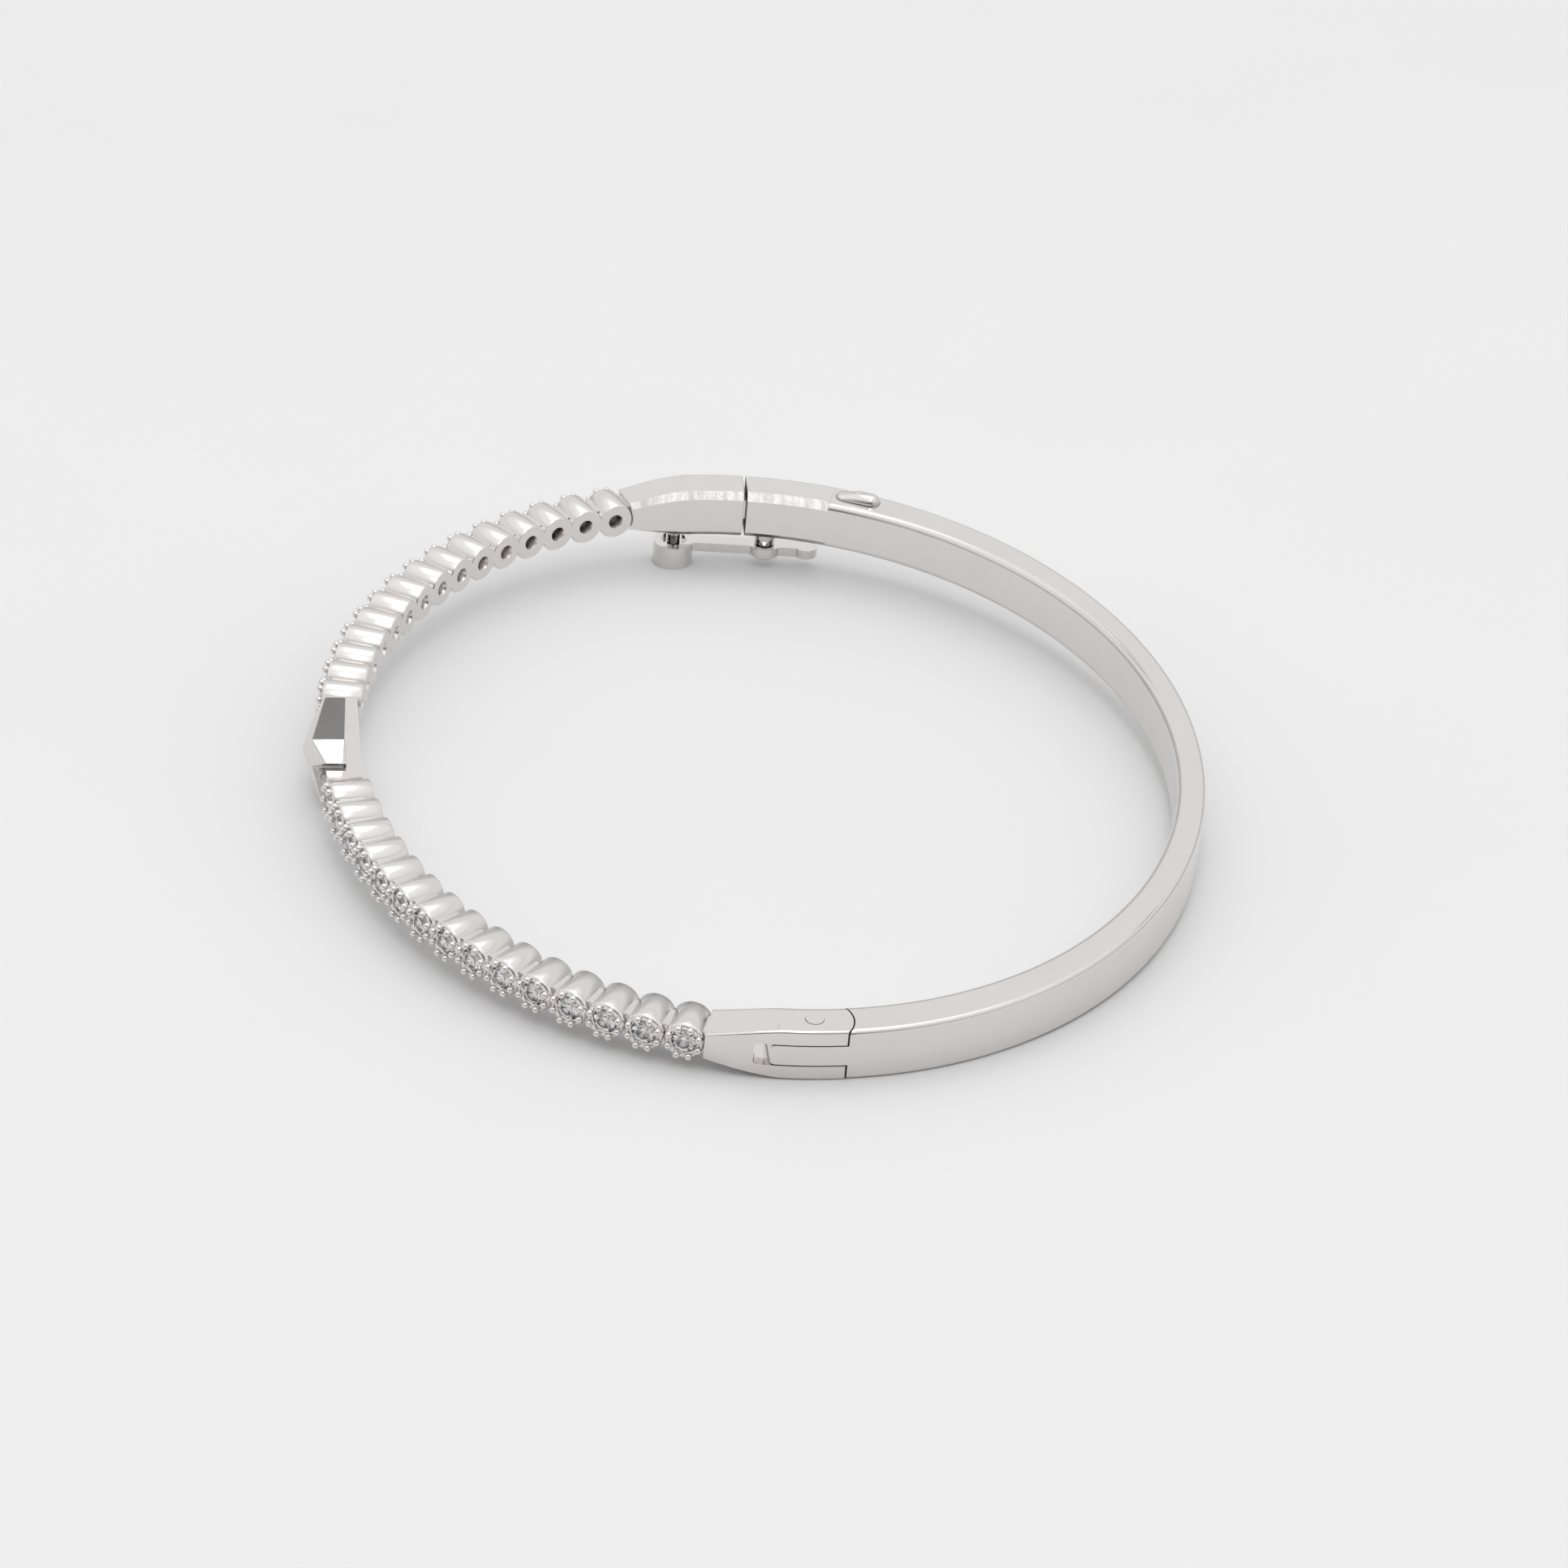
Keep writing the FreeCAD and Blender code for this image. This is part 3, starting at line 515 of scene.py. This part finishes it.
def shoulder_blank(name, side):
    """Tapered stretch of the band that ends at the first collet."""
    at_clasp = side > 0
    piece = band_hoop(name, SHOULDER_SIDES, SHOULDER_SOFT, INNER_ROUND, 0.0 if at_clasp else TOP_FALL,
                      bright_cut=at_clasp)
    slice_off(piece, (-SHOULDER_LENGTH + SEAM_X - SPARE, 0, 0), (-1, 0, 0))
    slice_off(piece, (SEAM_X + SPARE, 0, 0), (1, 0, 0))
    slice_off(piece, ORIGIN, (0, -side, 0))
    columns = sorted({round(v.co.x / MM, 2) for v in piece.data.vertices})
    for column in columns:
        run = SEAM_X - column
        if run <= SHOULDER_FLAT:
            continue
        pick_points(piece, lambda p: round(p.x, 2) == column)
        bpy.ops.transform.resize(value=(1, 1, shoulder_half_height(run) / SIDE_HALF),
                                 center_override=ORIGIN)
        close_mesh()
    angle = side * walk(CLASP_ANGLE, SHOULDER_LENGTH)
    slice_off(piece, on_middle(angle), along_band(angle) * side)
    return piece


def make_shoulders(silver, cut, painted_recess_shade):
    """The front half's two tapered ends: the hinge's fork and the plain end at the clasp."""
    hinge = shoulder_blank("hinge_shoulder_fork", -1)
    beyond = block("beyond", (PIN.x, -34, -CLEAR), (8, -24, CLEAR))
    combine(beyond, drum("ear", PIN, EAR_RADIUS, -CLEAR - 2, CLEAR + 2, 128))
    combine(hinge, beyond)
    clasp = shoulder_blank("clasp_shoulder_end", 1)
    slice_off(clasp, CLASP, SEAM_FACE)
    for piece, side in ((hinge, -1), (clasp, 1)):
        combine(piece, collet_core(0, side, COLLET_RADIUS + COLLET_PLAY))
        break_edges(piece, EDGE_BREAK, 2, 62)

    inner = SEAM_X - SLOT_LENGTH
    slot = block("slot", (inner, -36, -SLOT_HALF), (10, -20, SLOT_HALF))
    combine(hinge, round_end(slot, inner, SLOT_CORNER))
    combine(hinge, drum("pin_seat", PIN, PIN_RADIUS + EAR_PLAY, -CLEAR, CLEAR))
    for piece, node in ((hinge, "hinge_shoulder"), (clasp, "clasp_shoulder")):
        polish(piece)
        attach(piece, "front_half")
        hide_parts(node)
        finish(piece, silver)
    bright_cut_faces(clasp, cut)
    # painted shade on the clasp shoulder's seam face and the faces just inside it
    paint_shade_on_faces(clasp, painted_recess_shade, near_seam(0.2))
    # painted shade on the end wall of the hinge's slot
    paint_shade_on_faces(hinge, painted_recess_shade, lambda p, n: p.x > 1.4 and n.x > 0.8 and abs(p.z) < SIDE_HALF - 0.1)


# ---- collets and rail ----------------------------------------------------------------------------
def arc_length(start, end, steps=400):
    """Length of the middle of the wall between two angles."""
    width = (end - start) / steps
    total = 0.0
    for i in range(steps):
        angle = start + (i + 0.5) * width
        total += math.hypot(MID_A * math.sin(angle), MID_B * math.cos(angle)) * abs(width)
    return total


ROW_START = walk(CLASP_ANGLE, SHOULDER_LENGTH)
ROW_END = walk(math.pi, -SPACER_END)
PITCH = arc_length(ROW_START, ROW_END) / STONES


def collet_place(index, side):
    """Angle of a collet and the middle of its rim, on the outer oval."""
    angle = side * walk(ROW_START, PITCH * (index + 0.5))
    middle, out = on_middle(angle), outward(angle)
    reach = 0.0
    for _ in range(20):
        rim = middle + out * reach
        reach += (1 - math.hypot(rim.x / OUTER_A, rim.y / OUTER_B)) * SIDE_WALL * 4
    return angle, middle + out * reach


def collet_core(index, side, radius, top=COLLET_CUT_HIGH, sides=64):
    """Drum on a collet's axis, to cut room for the collet or a hole behind its stone."""
    angle, rim = collet_place(index, side)
    core = ring_stack("core", sides, [(radius, radius, COLLET_CUT_LOW), (radius, radius, top)])
    return put(core, facing(angle), rim)


def collet_model(cast, bright):
    """One round collet about +Z: cupped wall with a bright-cut rim, open back and eight beads.

    wall is (radius, height) up the outside, over the rim and down through the stone's seat."""
    wall = [(1.06, -2.5), (1.12, -2.42), (1.12, -0.34), (1.10, -0.25), (1.04, -0.17), (0.96, -0.13),
            (0.80, -0.14), (0.72, -0.18), (0.69, -0.22), (0.685, -0.27), (0.36, -0.80), (0.36, -2.3),
            (0.46, -2.5)]
    rings = [(r, r, h) for r, h in wall]
    cup = ring_stack("collet", 48, rings + rings[:1], hoop=True)
    cup.data.materials.append(cast)
    cup.data.materials.append(bright)
    for face in cup.data.polygons:
        face.material_index = 1 if face.center.z > -0.3 * MM else 0
    beads = []
    for i in range(BEADS):
        turn = 2 * math.pi * (i + 0.5) / BEADS
        bpy.ops.object.select_all(action="DESELECT")
        bpy.ops.mesh.primitive_uv_sphere_add(segments=16, ring_count=10, radius=BEAD_RADIUS * MM)
        bead = bpy.context.object
        pick_points(bead, lambda p: p.z > 0.12)
        bpy.ops.transform.resize(value=(1, 1, 0.93), center_override=ORIGIN)
        close_mesh()
        shift(bead, (BEAD_CIRCLE * math.cos(turn), BEAD_CIRCLE * math.sin(turn), 0))
        bead.data.materials.append(bright)
        beads.append(bead)
    whole = join([cup] + beads, "collet")
    polish(whole, 40)
    return whole


def make_rows(cast, bright):
    """Fifteen collets on a thin rail, on each side of the star."""
    pattern = collet_model(cast, bright)
    for side, place in ((-1, "hinge_side"), (1, "clasp_side")):
        collets = []
        for index in range(STONES):
            angle, rim = collet_place(index, side)
            collets.append(put(copy_of(pattern, "collet_%02d" % index), facing(angle), rim))
        rail = sheet_ring("rail", RAIL_SINK, COLLET_DEPTH - RAIL_SINK, RAIL_HALF)
        slice_off(rail, ORIGIN, (0, -side, 0))
        slice_off(rail, on_middle(side * ROW_START), -along_band(side * ROW_START) * side)
        slice_off(rail, on_middle(side * ROW_END), along_band(side * ROW_END) * side)
        for index in range(STONES):
            combine(rail, collet_core(index, side, CULET_HOLE, CULET_CUT_HIGH, 24))
        break_edges(rail, 0.08, 2)
        polish(rail)
        rail.data.materials.clear()
        rail.data.materials.append(cast)
        row = join(collets + [rail], "collet_row_" + place)
        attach(row, "front_half")
        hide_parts("setting_row_" + place)
    bpy.data.objects.remove(pattern, do_unlink=True)


# ---- star and bridge -----------------------------------------------------------------------------
def make_star(silver):
    """Five-point star with ridged points, and the bridge behind it."""
    bpy.ops.object.select_all(action="DESELECT")
    bpy.ops.mesh.primitive_circle_add(vertices=10, radius=STAR_RADIUS * MM, fill_type="NGON")
    star = bpy.context.object
    star.name = "front_star"

    def at_notch(p):
        """Points between two of the star's tips."""
        turn = math.degrees(math.atan2(p.y, p.x)) - 90
        return round(turn / 36) % 2 == 1

    shrink = math.cos(math.radians(72)) / math.cos(math.radians(36))
    pick_points(star, at_notch)
    bpy.ops.transform.resize(value=(shrink, shrink, 1), center_override=ORIGIN)
    bpy.ops.mesh.select_all(action="SELECT")
    bpy.ops.mesh.extrude_region_move(TRANSFORM_OT_translate={"value": (0, 0, STAR_TIP * MM)})
    bpy.ops.mesh.poke(offset=0.0)
    pick_points(star, lambda p: p.z > 0.6 and p.xy.length < 0.1)
    bpy.ops.transform.translate(value=(0, 0, (STAR_MIDDLE - STAR_TIP) * MM))
    pick_points(star, lambda p: p.z > 0.6 and p.xy.length > 0.1 and at_notch(p))
    bpy.ops.transform.translate(value=(0, 0, (STAR_NOTCH - STAR_TIP) * MM))
    bpy.ops.mesh.select_all(action="SELECT")
    bpy.ops.mesh.normals_make_consistent(inside=False)
    close_mesh()
    turn = Matrix((Vector((0, -1, 0)), UP, Vector((-1, 0, 0)))).transposed()
    put(star, turn, (STAR_BACK, 0, 0))
    break_edges(star, 0.07, 3, 8)
    polish(star, 25)
    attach(star, "front_half")
    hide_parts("star")
    finish(star, silver)

    bridge = sheet_ring("bridge_behind_star", RAIL_SINK / 2, COLLET_DEPTH, BRIDGE_HALF)
    slice_off(bridge, ORIGIN, (1, 0, 0))
    keep_between(bridge, walk(math.pi, -SPACER_END), walk(math.pi, SPACER_END))
    combine(bridge, block("star_room", (-40, -SPACER_START, -CLEAR), (STAR_BACK, SPACER_START, CLEAR)))
    combine(bridge, block("inside", (STAR_BACK + BRIDGE_THICKNESS, -40, -CLEAR), (0, 40, CLEAR)))
    for side in (-1, 1):
        combine(bridge, collet_core(STONES - 1, side, COLLET_RADIUS))
    break_edges(bridge, 0.1, 3)
    polish(bridge)
    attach(bridge, "front_half")
    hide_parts("star_bridge")
    finish(bridge, silver)


# ---- clasp fittings ------------------------------------------------------------------------------
def make_button(silver):
    """Low smooth bump on a stem, higher at the end away from the seam."""
    rise = BUTTON_TOP - BUTTON_BROW
    dome = [(BUTTON_WIDTH / 2 * (1 - math.sin(lean)), BUTTON_BROW + rise * math.cos(lean))
            for lean in map(math.radians, DOME_STEPS)]
    cap = oval_plate("release_button_cap", BUTTON_LENGTH, BUTTON_WIDTH, [(0, BUTTON_UNDER)] + dome)
    pick_points(cap, lambda p: p.y > 0.0001 and p.z > BUTTON_BROW + 0.01)
    bpy.ops.transform.resize(value=(1, 1, BROW_SHARE), center_override=(0, 0, BUTTON_BROW * MM))
    close_mesh()
    shift(cap, (BUTTON_SHIFT, 0, 0))
    combine(cap, drum("stem", (0, 0), STEM_RADIUS, STEM_LOW, BUTTON_UNDER + 0.2, 32), "UNION")
    put(cap, lying(BUTTON_ANGLE), on_middle(BUTTON_ANGLE))
    polish(cap, 45)
    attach(cap, "release_button")
    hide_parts("release_button")
    finish(cap, silver)


def make_latch(silver, painted_recess_shade):
    """Lever with its deep hook, the rivet it turns on and the peg it closes round."""
    low, high, deep = LATCH_TOP - LATCH_THICKNESS, LATCH_TOP, LATCH_TOP - HOOK_DEPTH
    hook, pivot, tab = clasp_point(LATCH_HOOK), clasp_point(LATCH_PIVOT), clasp_point(LATCH_TAB)
    latch = drum("safety_latch_lever", clasp_point(LATCH_HOOK, HOOK_INSET), HOOK_LOBE, deep, high, 96)
    combine(latch, plan_bar("waist", hook, tab, 0, 0, WAIST, low, high), "UNION")
    combine(latch, drum("pivot_lobe", pivot, PIVOT_LOBE, low, high, 64), "UNION")
    combine(latch, drum("tab_lobe", tab, TAB_LOBE, low, high, 64), "UNION")
    run = hook - pivot
    bearing = math.atan2(run.y, run.x)
    combine(latch, swept_bar("mouth", pivot, LATCH_PIVOT - LATCH_HOOK, MOUTH_WIDTH, bearing,
                             bearing - math.radians(MOUTH_SWEEP), deep - 1, high + 1))
    combine(latch, drum("hook_bore", hook, HOOK_BORE, deep - 1, high + 1, 48))
    combine(latch, drum("hook_cup", clasp_point(LATCH_HOOK, HOOK_INSET / 2), CUP_RADIUS,
                        high - CUP_DEPTH, high + 1, 64))
    combine(latch, drum("pivot_bore", pivot, PIVOT_BORE, low - 1, high + 1, 48))
    break_edges(latch, LATCH_ROUND, 4, 60)
    polish(latch, 32)
    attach(latch, "safety_latch")
    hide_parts("safety_latch")
    finish(latch, silver)

    def inside_hook(p, n):
        """Walls of the hook's bore that look at the peg, and any ledge below the lever."""
        wall = p.z < high - 0.16 and (p - hook).xy.dot(n.xy) < -0.1 and p.z > deep + 0.2
        return (p - hook).xy.length < 1.0 and (wall or n.z > 0.9 and p.z < low)

    # painted shade on the walls of the hook's bore and on the ledge below the lever
    paint_shade_on_faces(latch, painted_recess_shade, inside_hook)

    head, root = low - LATCH_PLAY, -SIDE_HALF + POST_ROOT
    rivet = ring_stack("latch_post", 48, [(r, r, h) for r, h in (
        (RIVET_RADIUS, head - RIVET_HEAD_DEPTH), (RIVET_HEAD - 0.12, head - 0.21), (RIVET_HEAD, head - 0.1),
        (RIVET_HEAD, head), (RIVET_RADIUS, head), (RIVET_RADIUS, high + LATCH_PLAY),
        (RIVET_COLLAR - 0.04, high + LATCH_PLAY), (RIVET_COLLAR, high + 0.1),
        (RIVET_COLLAR, -SIDE_HALF - 0.03), (RIVET_COLLAR, root))])
    shift(rivet, pivot)
    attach(rivet, "back_half")
    end = deep + PEG_END
    peg = ring_stack("catch_peg_post", 48, [(r, r, h) for r, h in (
        (0.14, end), (0.28, end + 0.06), (0.37, end + 0.17), (PEG_RADIUS, end + 0.3),
        (PEG_RADIUS, -SIDE_HALF - 0.03), (PEG_RADIUS, root))])
    shift(peg, hook)
    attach(peg, "front_half")
    for piece, node in ((rivet, "latch_rivet"), (peg, "catch_peg")):
        polish(piece, 40)
        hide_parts(node)
        finish(piece, silver)


# ---- finishes ------------------------------------------------------------------------------------
def metal(name, colour, roughness, spread, bump, size, stretch=(1, 1, 1), shade=0.93):
    """Silver whose gloss is broken by faint smears and fine scratches.

    stretch draws the smears out in strokes, and shade is how dark they get."""
    made = bpy.data.materials.new(name)
    made.use_nodes = True
    nodes, links = made.node_tree.nodes, made.node_tree.links
    shader = nodes["Principled BSDF"]
    shader.inputs["Metallic"].default_value = 1.0
    place = nodes.new("ShaderNodeTexCoord")
    smear = nodes.new("ShaderNodeTexNoise")
    smear.inputs["Scale"].default_value = size
    smear.inputs["Detail"].default_value = 6.0
    smear.inputs["Roughness"].default_value = 0.65
    lie = nodes.new("ShaderNodeMapping")
    lie.inputs["Scale"].default_value = stretch
    links.new(place.outputs["Object"], lie.inputs["Vector"])
    links.new(lie.outputs["Vector"], smear.inputs["Vector"])
    gloss = nodes.new("ShaderNodeMapRange")
    gloss.inputs["From Min"].default_value = 0.3
    gloss.inputs["From Max"].default_value = 0.75
    gloss.inputs["To Min"].default_value = roughness
    gloss.inputs["To Max"].default_value = roughness + spread
    links.new(smear.outputs["Fac"], gloss.inputs["Value"])
    links.new(gloss.outputs["Result"], shader.inputs["Roughness"])
    tint = nodes.new("ShaderNodeMixRGB")
    tint.inputs[1].default_value = (*colour, 1)
    tint.inputs[2].default_value = (colour[0] * shade, colour[1] * shade, colour[2] * shade * 0.99, 1)
    links.new(smear.outputs["Fac"], tint.inputs[0])
    links.new(tint.outputs[0], shader.inputs["Base Color"])
    grain = nodes.new("ShaderNodeTexNoise")
    grain.inputs["Scale"].default_value = size * 18
    grain.inputs["Detail"].default_value = 3.0
    links.new(lie.outputs["Vector"], grain.inputs["Vector"])
    relief = nodes.new("ShaderNodeBump")
    relief.inputs["Strength"].default_value = bump
    relief.inputs["Distance"].default_value = 0.00002
    links.new(grain.outputs["Fac"], relief.inputs["Height"])
    links.new(relief.outputs["Normal"], shader.inputs["Normal"])
    return made


def zirconia():
    """Clear stone with a very faint rose tint and a trace of polish haze."""
    gem = bpy.data.materials.new("clear_zirconia")
    gem.use_nodes = True
    nodes, links = gem.node_tree.nodes, gem.node_tree.links
    shader = nodes["Principled BSDF"]
    shader.inputs["Transmission Weight"].default_value = 1.0
    shader.inputs["IOR"].default_value = 2.15
    place = nodes.new("ShaderNodeTexCoord")
    haze = nodes.new("ShaderNodeTexNoise")
    haze.inputs["Scale"].default_value = 900
    haze.inputs["Detail"].default_value = 4.0
    links.new(place.outputs["Object"], haze.inputs["Vector"])
    gloss = nodes.new("ShaderNodeMapRange")
    gloss.inputs["To Min"].default_value = 0.0
    gloss.inputs["To Max"].default_value = 0.03
    links.new(haze.outputs["Fac"], gloss.inputs["Value"])
    links.new(gloss.outputs["Result"], shader.inputs["Roughness"])
    tint = nodes.new("ShaderNodeMixRGB")
    tint.inputs[1].default_value = (0.99, 0.97, 0.965, 1)
    tint.inputs[2].default_value = (0.95, 0.92, 0.915, 1)
    links.new(haze.outputs["Fac"], tint.inputs[0])
    links.new(tint.outputs[0], shader.inputs["Base Color"])
    return gem


def bright_cut_faces(piece, material):
    """Give the flat inner bevel, which leans 45 degrees, its own cut finish."""
    piece.data.materials.append(material)
    for face in piece.data.polygons:
        place, lean = face.center / MM, face.normal
        across = Vector((place.x / INNER_A, place.y / INNER_B)).length
        if across < 1.02 and abs(abs(lean.z) - 0.707) < 0.12:
            face.material_index = 1


def near_seam(depth):
    """Test for the faces of the clasp's seam and those just inside it."""
    return lambda p, n: abs(n.dot(SEAM_FACE)) > 0.9 and abs((p - CLASP).dot(SEAM_FACE)) < depth


def paint_shade_on_faces(piece, material, test):
    """Paint shade on faces inside the joints and hollows: a much darker silver stands in for the shade
    there, and its higher roughness for an unpolished finish.
    """
    piece.data.materials.append(material)
    index = len(piece.data.materials) - 1
    for face in piece.data.polygons:
        if test(face.center / MM, face.normal):
            face.material_index = index


def finish(piece, material):
    """Give a whole piece one material."""
    piece.data.materials.clear()
    piece.data.materials.append(material)


def dress_node(name, material):
    """Give a piece that keeps its own shape a material."""
    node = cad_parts[name]
    for slot in node.material_slots:
        slot.material = material


# ---- make everything -----------------------------------------------------------------------------
SILVER = (0.76, 0.735, 0.718)
silver = metal("polished_silver", SILVER, 0.05, 0.08, 0.05, 260)
cast = metal("cast_silver_satin", SILVER, 0.16, 0.16, 0.25, 420)
bright = metal("bright_cut_silver", (0.82, 0.795, 0.78), 0.04, 0.05, 0.05, 500)
steel = metal("spring_steel_wire", (0.62, 0.61, 0.60), 0.25, 0.1, 0.2, 900)
gem = zirconia()
# dark, rough silver that is painted shade for faces deep in the joints and hollows
painted_recess_shade = metal("dark_silver_painted_recess_shade", (0.22, 0.205, 0.20), 0.45, 0.15, 0.3, 500)
cut = metal("file_cut_silver", (0.70, 0.68, 0.665), 0.12, 0.2, 0.6, 700, (4.0, 0.2, 0.2), 0.5)

make_back_half(silver, cut, painted_recess_shade)
make_shoulders(silver, cut, painted_recess_shade)
make_rows(cast, bright)
make_star(silver)
make_button(silver)
make_latch(silver, painted_recess_shade)

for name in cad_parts:
    if name.startswith("stone_"):
        dress_node(name, gem)
for name in ("hinge_pin", "clasp_tongue", "catch_arm"):
    dress_node(name, silver)
dress_node("button_spring", steel)


# ---- table, light and camera ---------------------------------------------------------------------
TABLE_UP, TABLE_POINT = (-0.00817, 0.04026, 0.99916), (-2.03, 28.17, -3.96)
TENT = [(-0.2, 0.8), (0.0, 0.62), (0.22, 0.60), (0.36, 0.88), (0.42, 0.93), (0.60, 0.93), (0.63, 0.55),
        (0.66, 1.0), (0.95, 1.1), (1.0, 1.1)]              # (height, brightness) up the tent
DIM_SIDE = [(-0.2, 0.9), (0.0, 0.8), (0.08, 0.3), (0.3, 0.12), (0.62, 0.15), (0.78, 0.6), (0.92, 0.9),
            (1.0, 1.1)]                                    # the same up its dim side
SIDE_WIDTH = [(0.3, 0.0), (0.75, 0.6), (0.9, 2.0)]         # how the one fades into the other
DIM_TOWARDS = (-0.152, -0.988, 0.0)
BRIGHTEST = 2.0                                            # level that a full white stop stands for
LAMPS = [("front_lamp", (-0.03, -0.26, 0.60), 0.22, 0.35), ("back_lamp", (0.05, 0.22, 0.75), 0.45, 0.5)]
AZIMUTH, ELEVATION, ROLL = 8.74, 32.0, 5.3
TARGET, DISTANCE, LENS = (1.10, -3.25, 0), 321.43, 128.08


def make_table():
    """Pale table under the three points that the bangle rests on."""
    bpy.ops.object.select_all(action="DESELECT")
    bpy.ops.mesh.primitive_plane_add(size=4.0)
    table = bpy.context.object
    table.name = "table_top"
    turn = Vector(TABLE_UP).normalized().to_track_quat("Z", "Y").to_matrix()
    put(table, turn, TABLE_POINT)
    cover = bpy.data.materials.new("white_table")
    cover.use_nodes = True
    nodes, links = cover.node_tree.nodes, cover.node_tree.links
    shader = nodes["Principled BSDF"]
    shader.inputs["Roughness"].default_value = 0.6
    place = nodes.new("ShaderNodeTexCoord")
    fibre = nodes.new("ShaderNodeTexNoise")
    fibre.inputs["Scale"].default_value = 40
    links.new(place.outputs["Object"], fibre.inputs["Vector"])
    tint = nodes.new("ShaderNodeMixRGB")
    tint.inputs[1].default_value = (0.82, 0.82, 0.823, 1)
    tint.inputs[2].default_value = (0.80, 0.80, 0.806, 1)
    links.new(fibre.outputs["Fac"], tint.inputs[0])
    links.new(tint.outputs[0], shader.inputs["Base Color"])
    table.data.materials.append(cover)


def make_light():
    """White tent: bright above, dim at the front, and a thin seam all round."""
    world = bpy.data.worlds.new("white_tent")
    bpy.context.scene.world = world
    world.use_nodes = True
    nodes, links = world.node_tree.nodes, world.node_tree.links
    back = nodes["Background"]
    place = nodes.new("ShaderNodeTexCoord")
    split = nodes.new("ShaderNodeSeparateXYZ")
    links.new(place.outputs["Generated"], split.inputs[0])

    def ramp(source, stops):
        """Grey that follows a value through (value, brightness) stops between -1 and 1."""
        ranged = nodes.new("ShaderNodeMapRange")
        ranged.inputs["From Min"].default_value = -1.0
        links.new(source, ranged.inputs["Value"])
        fade = nodes.new("ShaderNodeValToRGB")
        while len(fade.color_ramp.elements) < len(stops):
            fade.color_ramp.elements.new(0.5)
        for element, (value, level) in zip(fade.color_ramp.elements, stops):
            element.position = (value + 1) / 2
            element.color = (level / BRIGHTEST, level / BRIGHTEST, level / BRIGHTEST, 1)
        links.new(ranged.outputs["Result"], fade.inputs[0])
        return fade.outputs[0]

    def blend_in(low, high, amount):
        """Mix of two brightnesses by a third value."""
        mixed = nodes.new("ShaderNodeMixRGB")
        links.new(low, mixed.inputs[1])
        links.new(high, mixed.inputs[2])
        links.new(amount, mixed.inputs[0])
        return mixed.outputs[0]

    tent = ramp(split.outputs["Z"], TENT)
    dim = ramp(split.outputs["Z"], DIM_SIDE)
    towards_dim = nodes.new("ShaderNodeVectorMath")
    towards_dim.operation = "DOT_PRODUCT"
    towards_dim.inputs[1].default_value = DIM_TOWARDS
    links.new(place.outputs["Generated"], towards_dim.inputs[0])
    side = ramp(towards_dim.outputs["Value"], SIDE_WIDTH)
    links.new(blend_in(tent, dim, side), back.inputs["Color"])
    back.inputs["Strength"].default_value = BRIGHTEST

    bpy.ops.object.select_all(action="DESELECT")
    for name, spot, size, energy in LAMPS:
        bpy.ops.object.light_add(type="AREA", location=spot)
        lamp = bpy.context.object
        lamp.name = name
        lamp.data.size = size
        lamp.data.energy = energy
        lamp.rotation_euler = (-lamp.location).to_track_quat("-Z", "Y").to_euler()


def make_camera():
    """Long lens from in front of the hinge, a little above, tipped slightly."""
    azimuth, elevation, roll = math.radians(AZIMUTH), math.radians(ELEVATION), math.radians(ROLL)
    forward = Vector((math.sin(azimuth) * math.cos(elevation), math.cos(azimuth) * math.cos(elevation),
                      -math.sin(elevation)))
    right = forward.cross(UP).normalized()
    up = right.cross(forward)
    level = right * math.cos(roll) + up * math.sin(roll)
    crest = up * math.cos(roll) - right * math.sin(roll)
    bpy.ops.object.select_all(action="DESELECT")
    bpy.ops.object.camera_add()
    camera = bpy.context.object
    camera.name = "camera"
    camera.data.lens = LENS
    camera.data.sensor_width = 36
    camera.data.clip_start = 0.01
    place = Vector(TARGET) * MM - forward * DISTANCE * MM
    camera.matrix_world = Matrix.Translation(place) @ Matrix((level, crest, -forward)).transposed().to_4x4()
    bpy.context.scene.camera = camera


bpy.context.scene.view_settings.view_transform = "Standard"
make_table()
make_light()
make_camera()
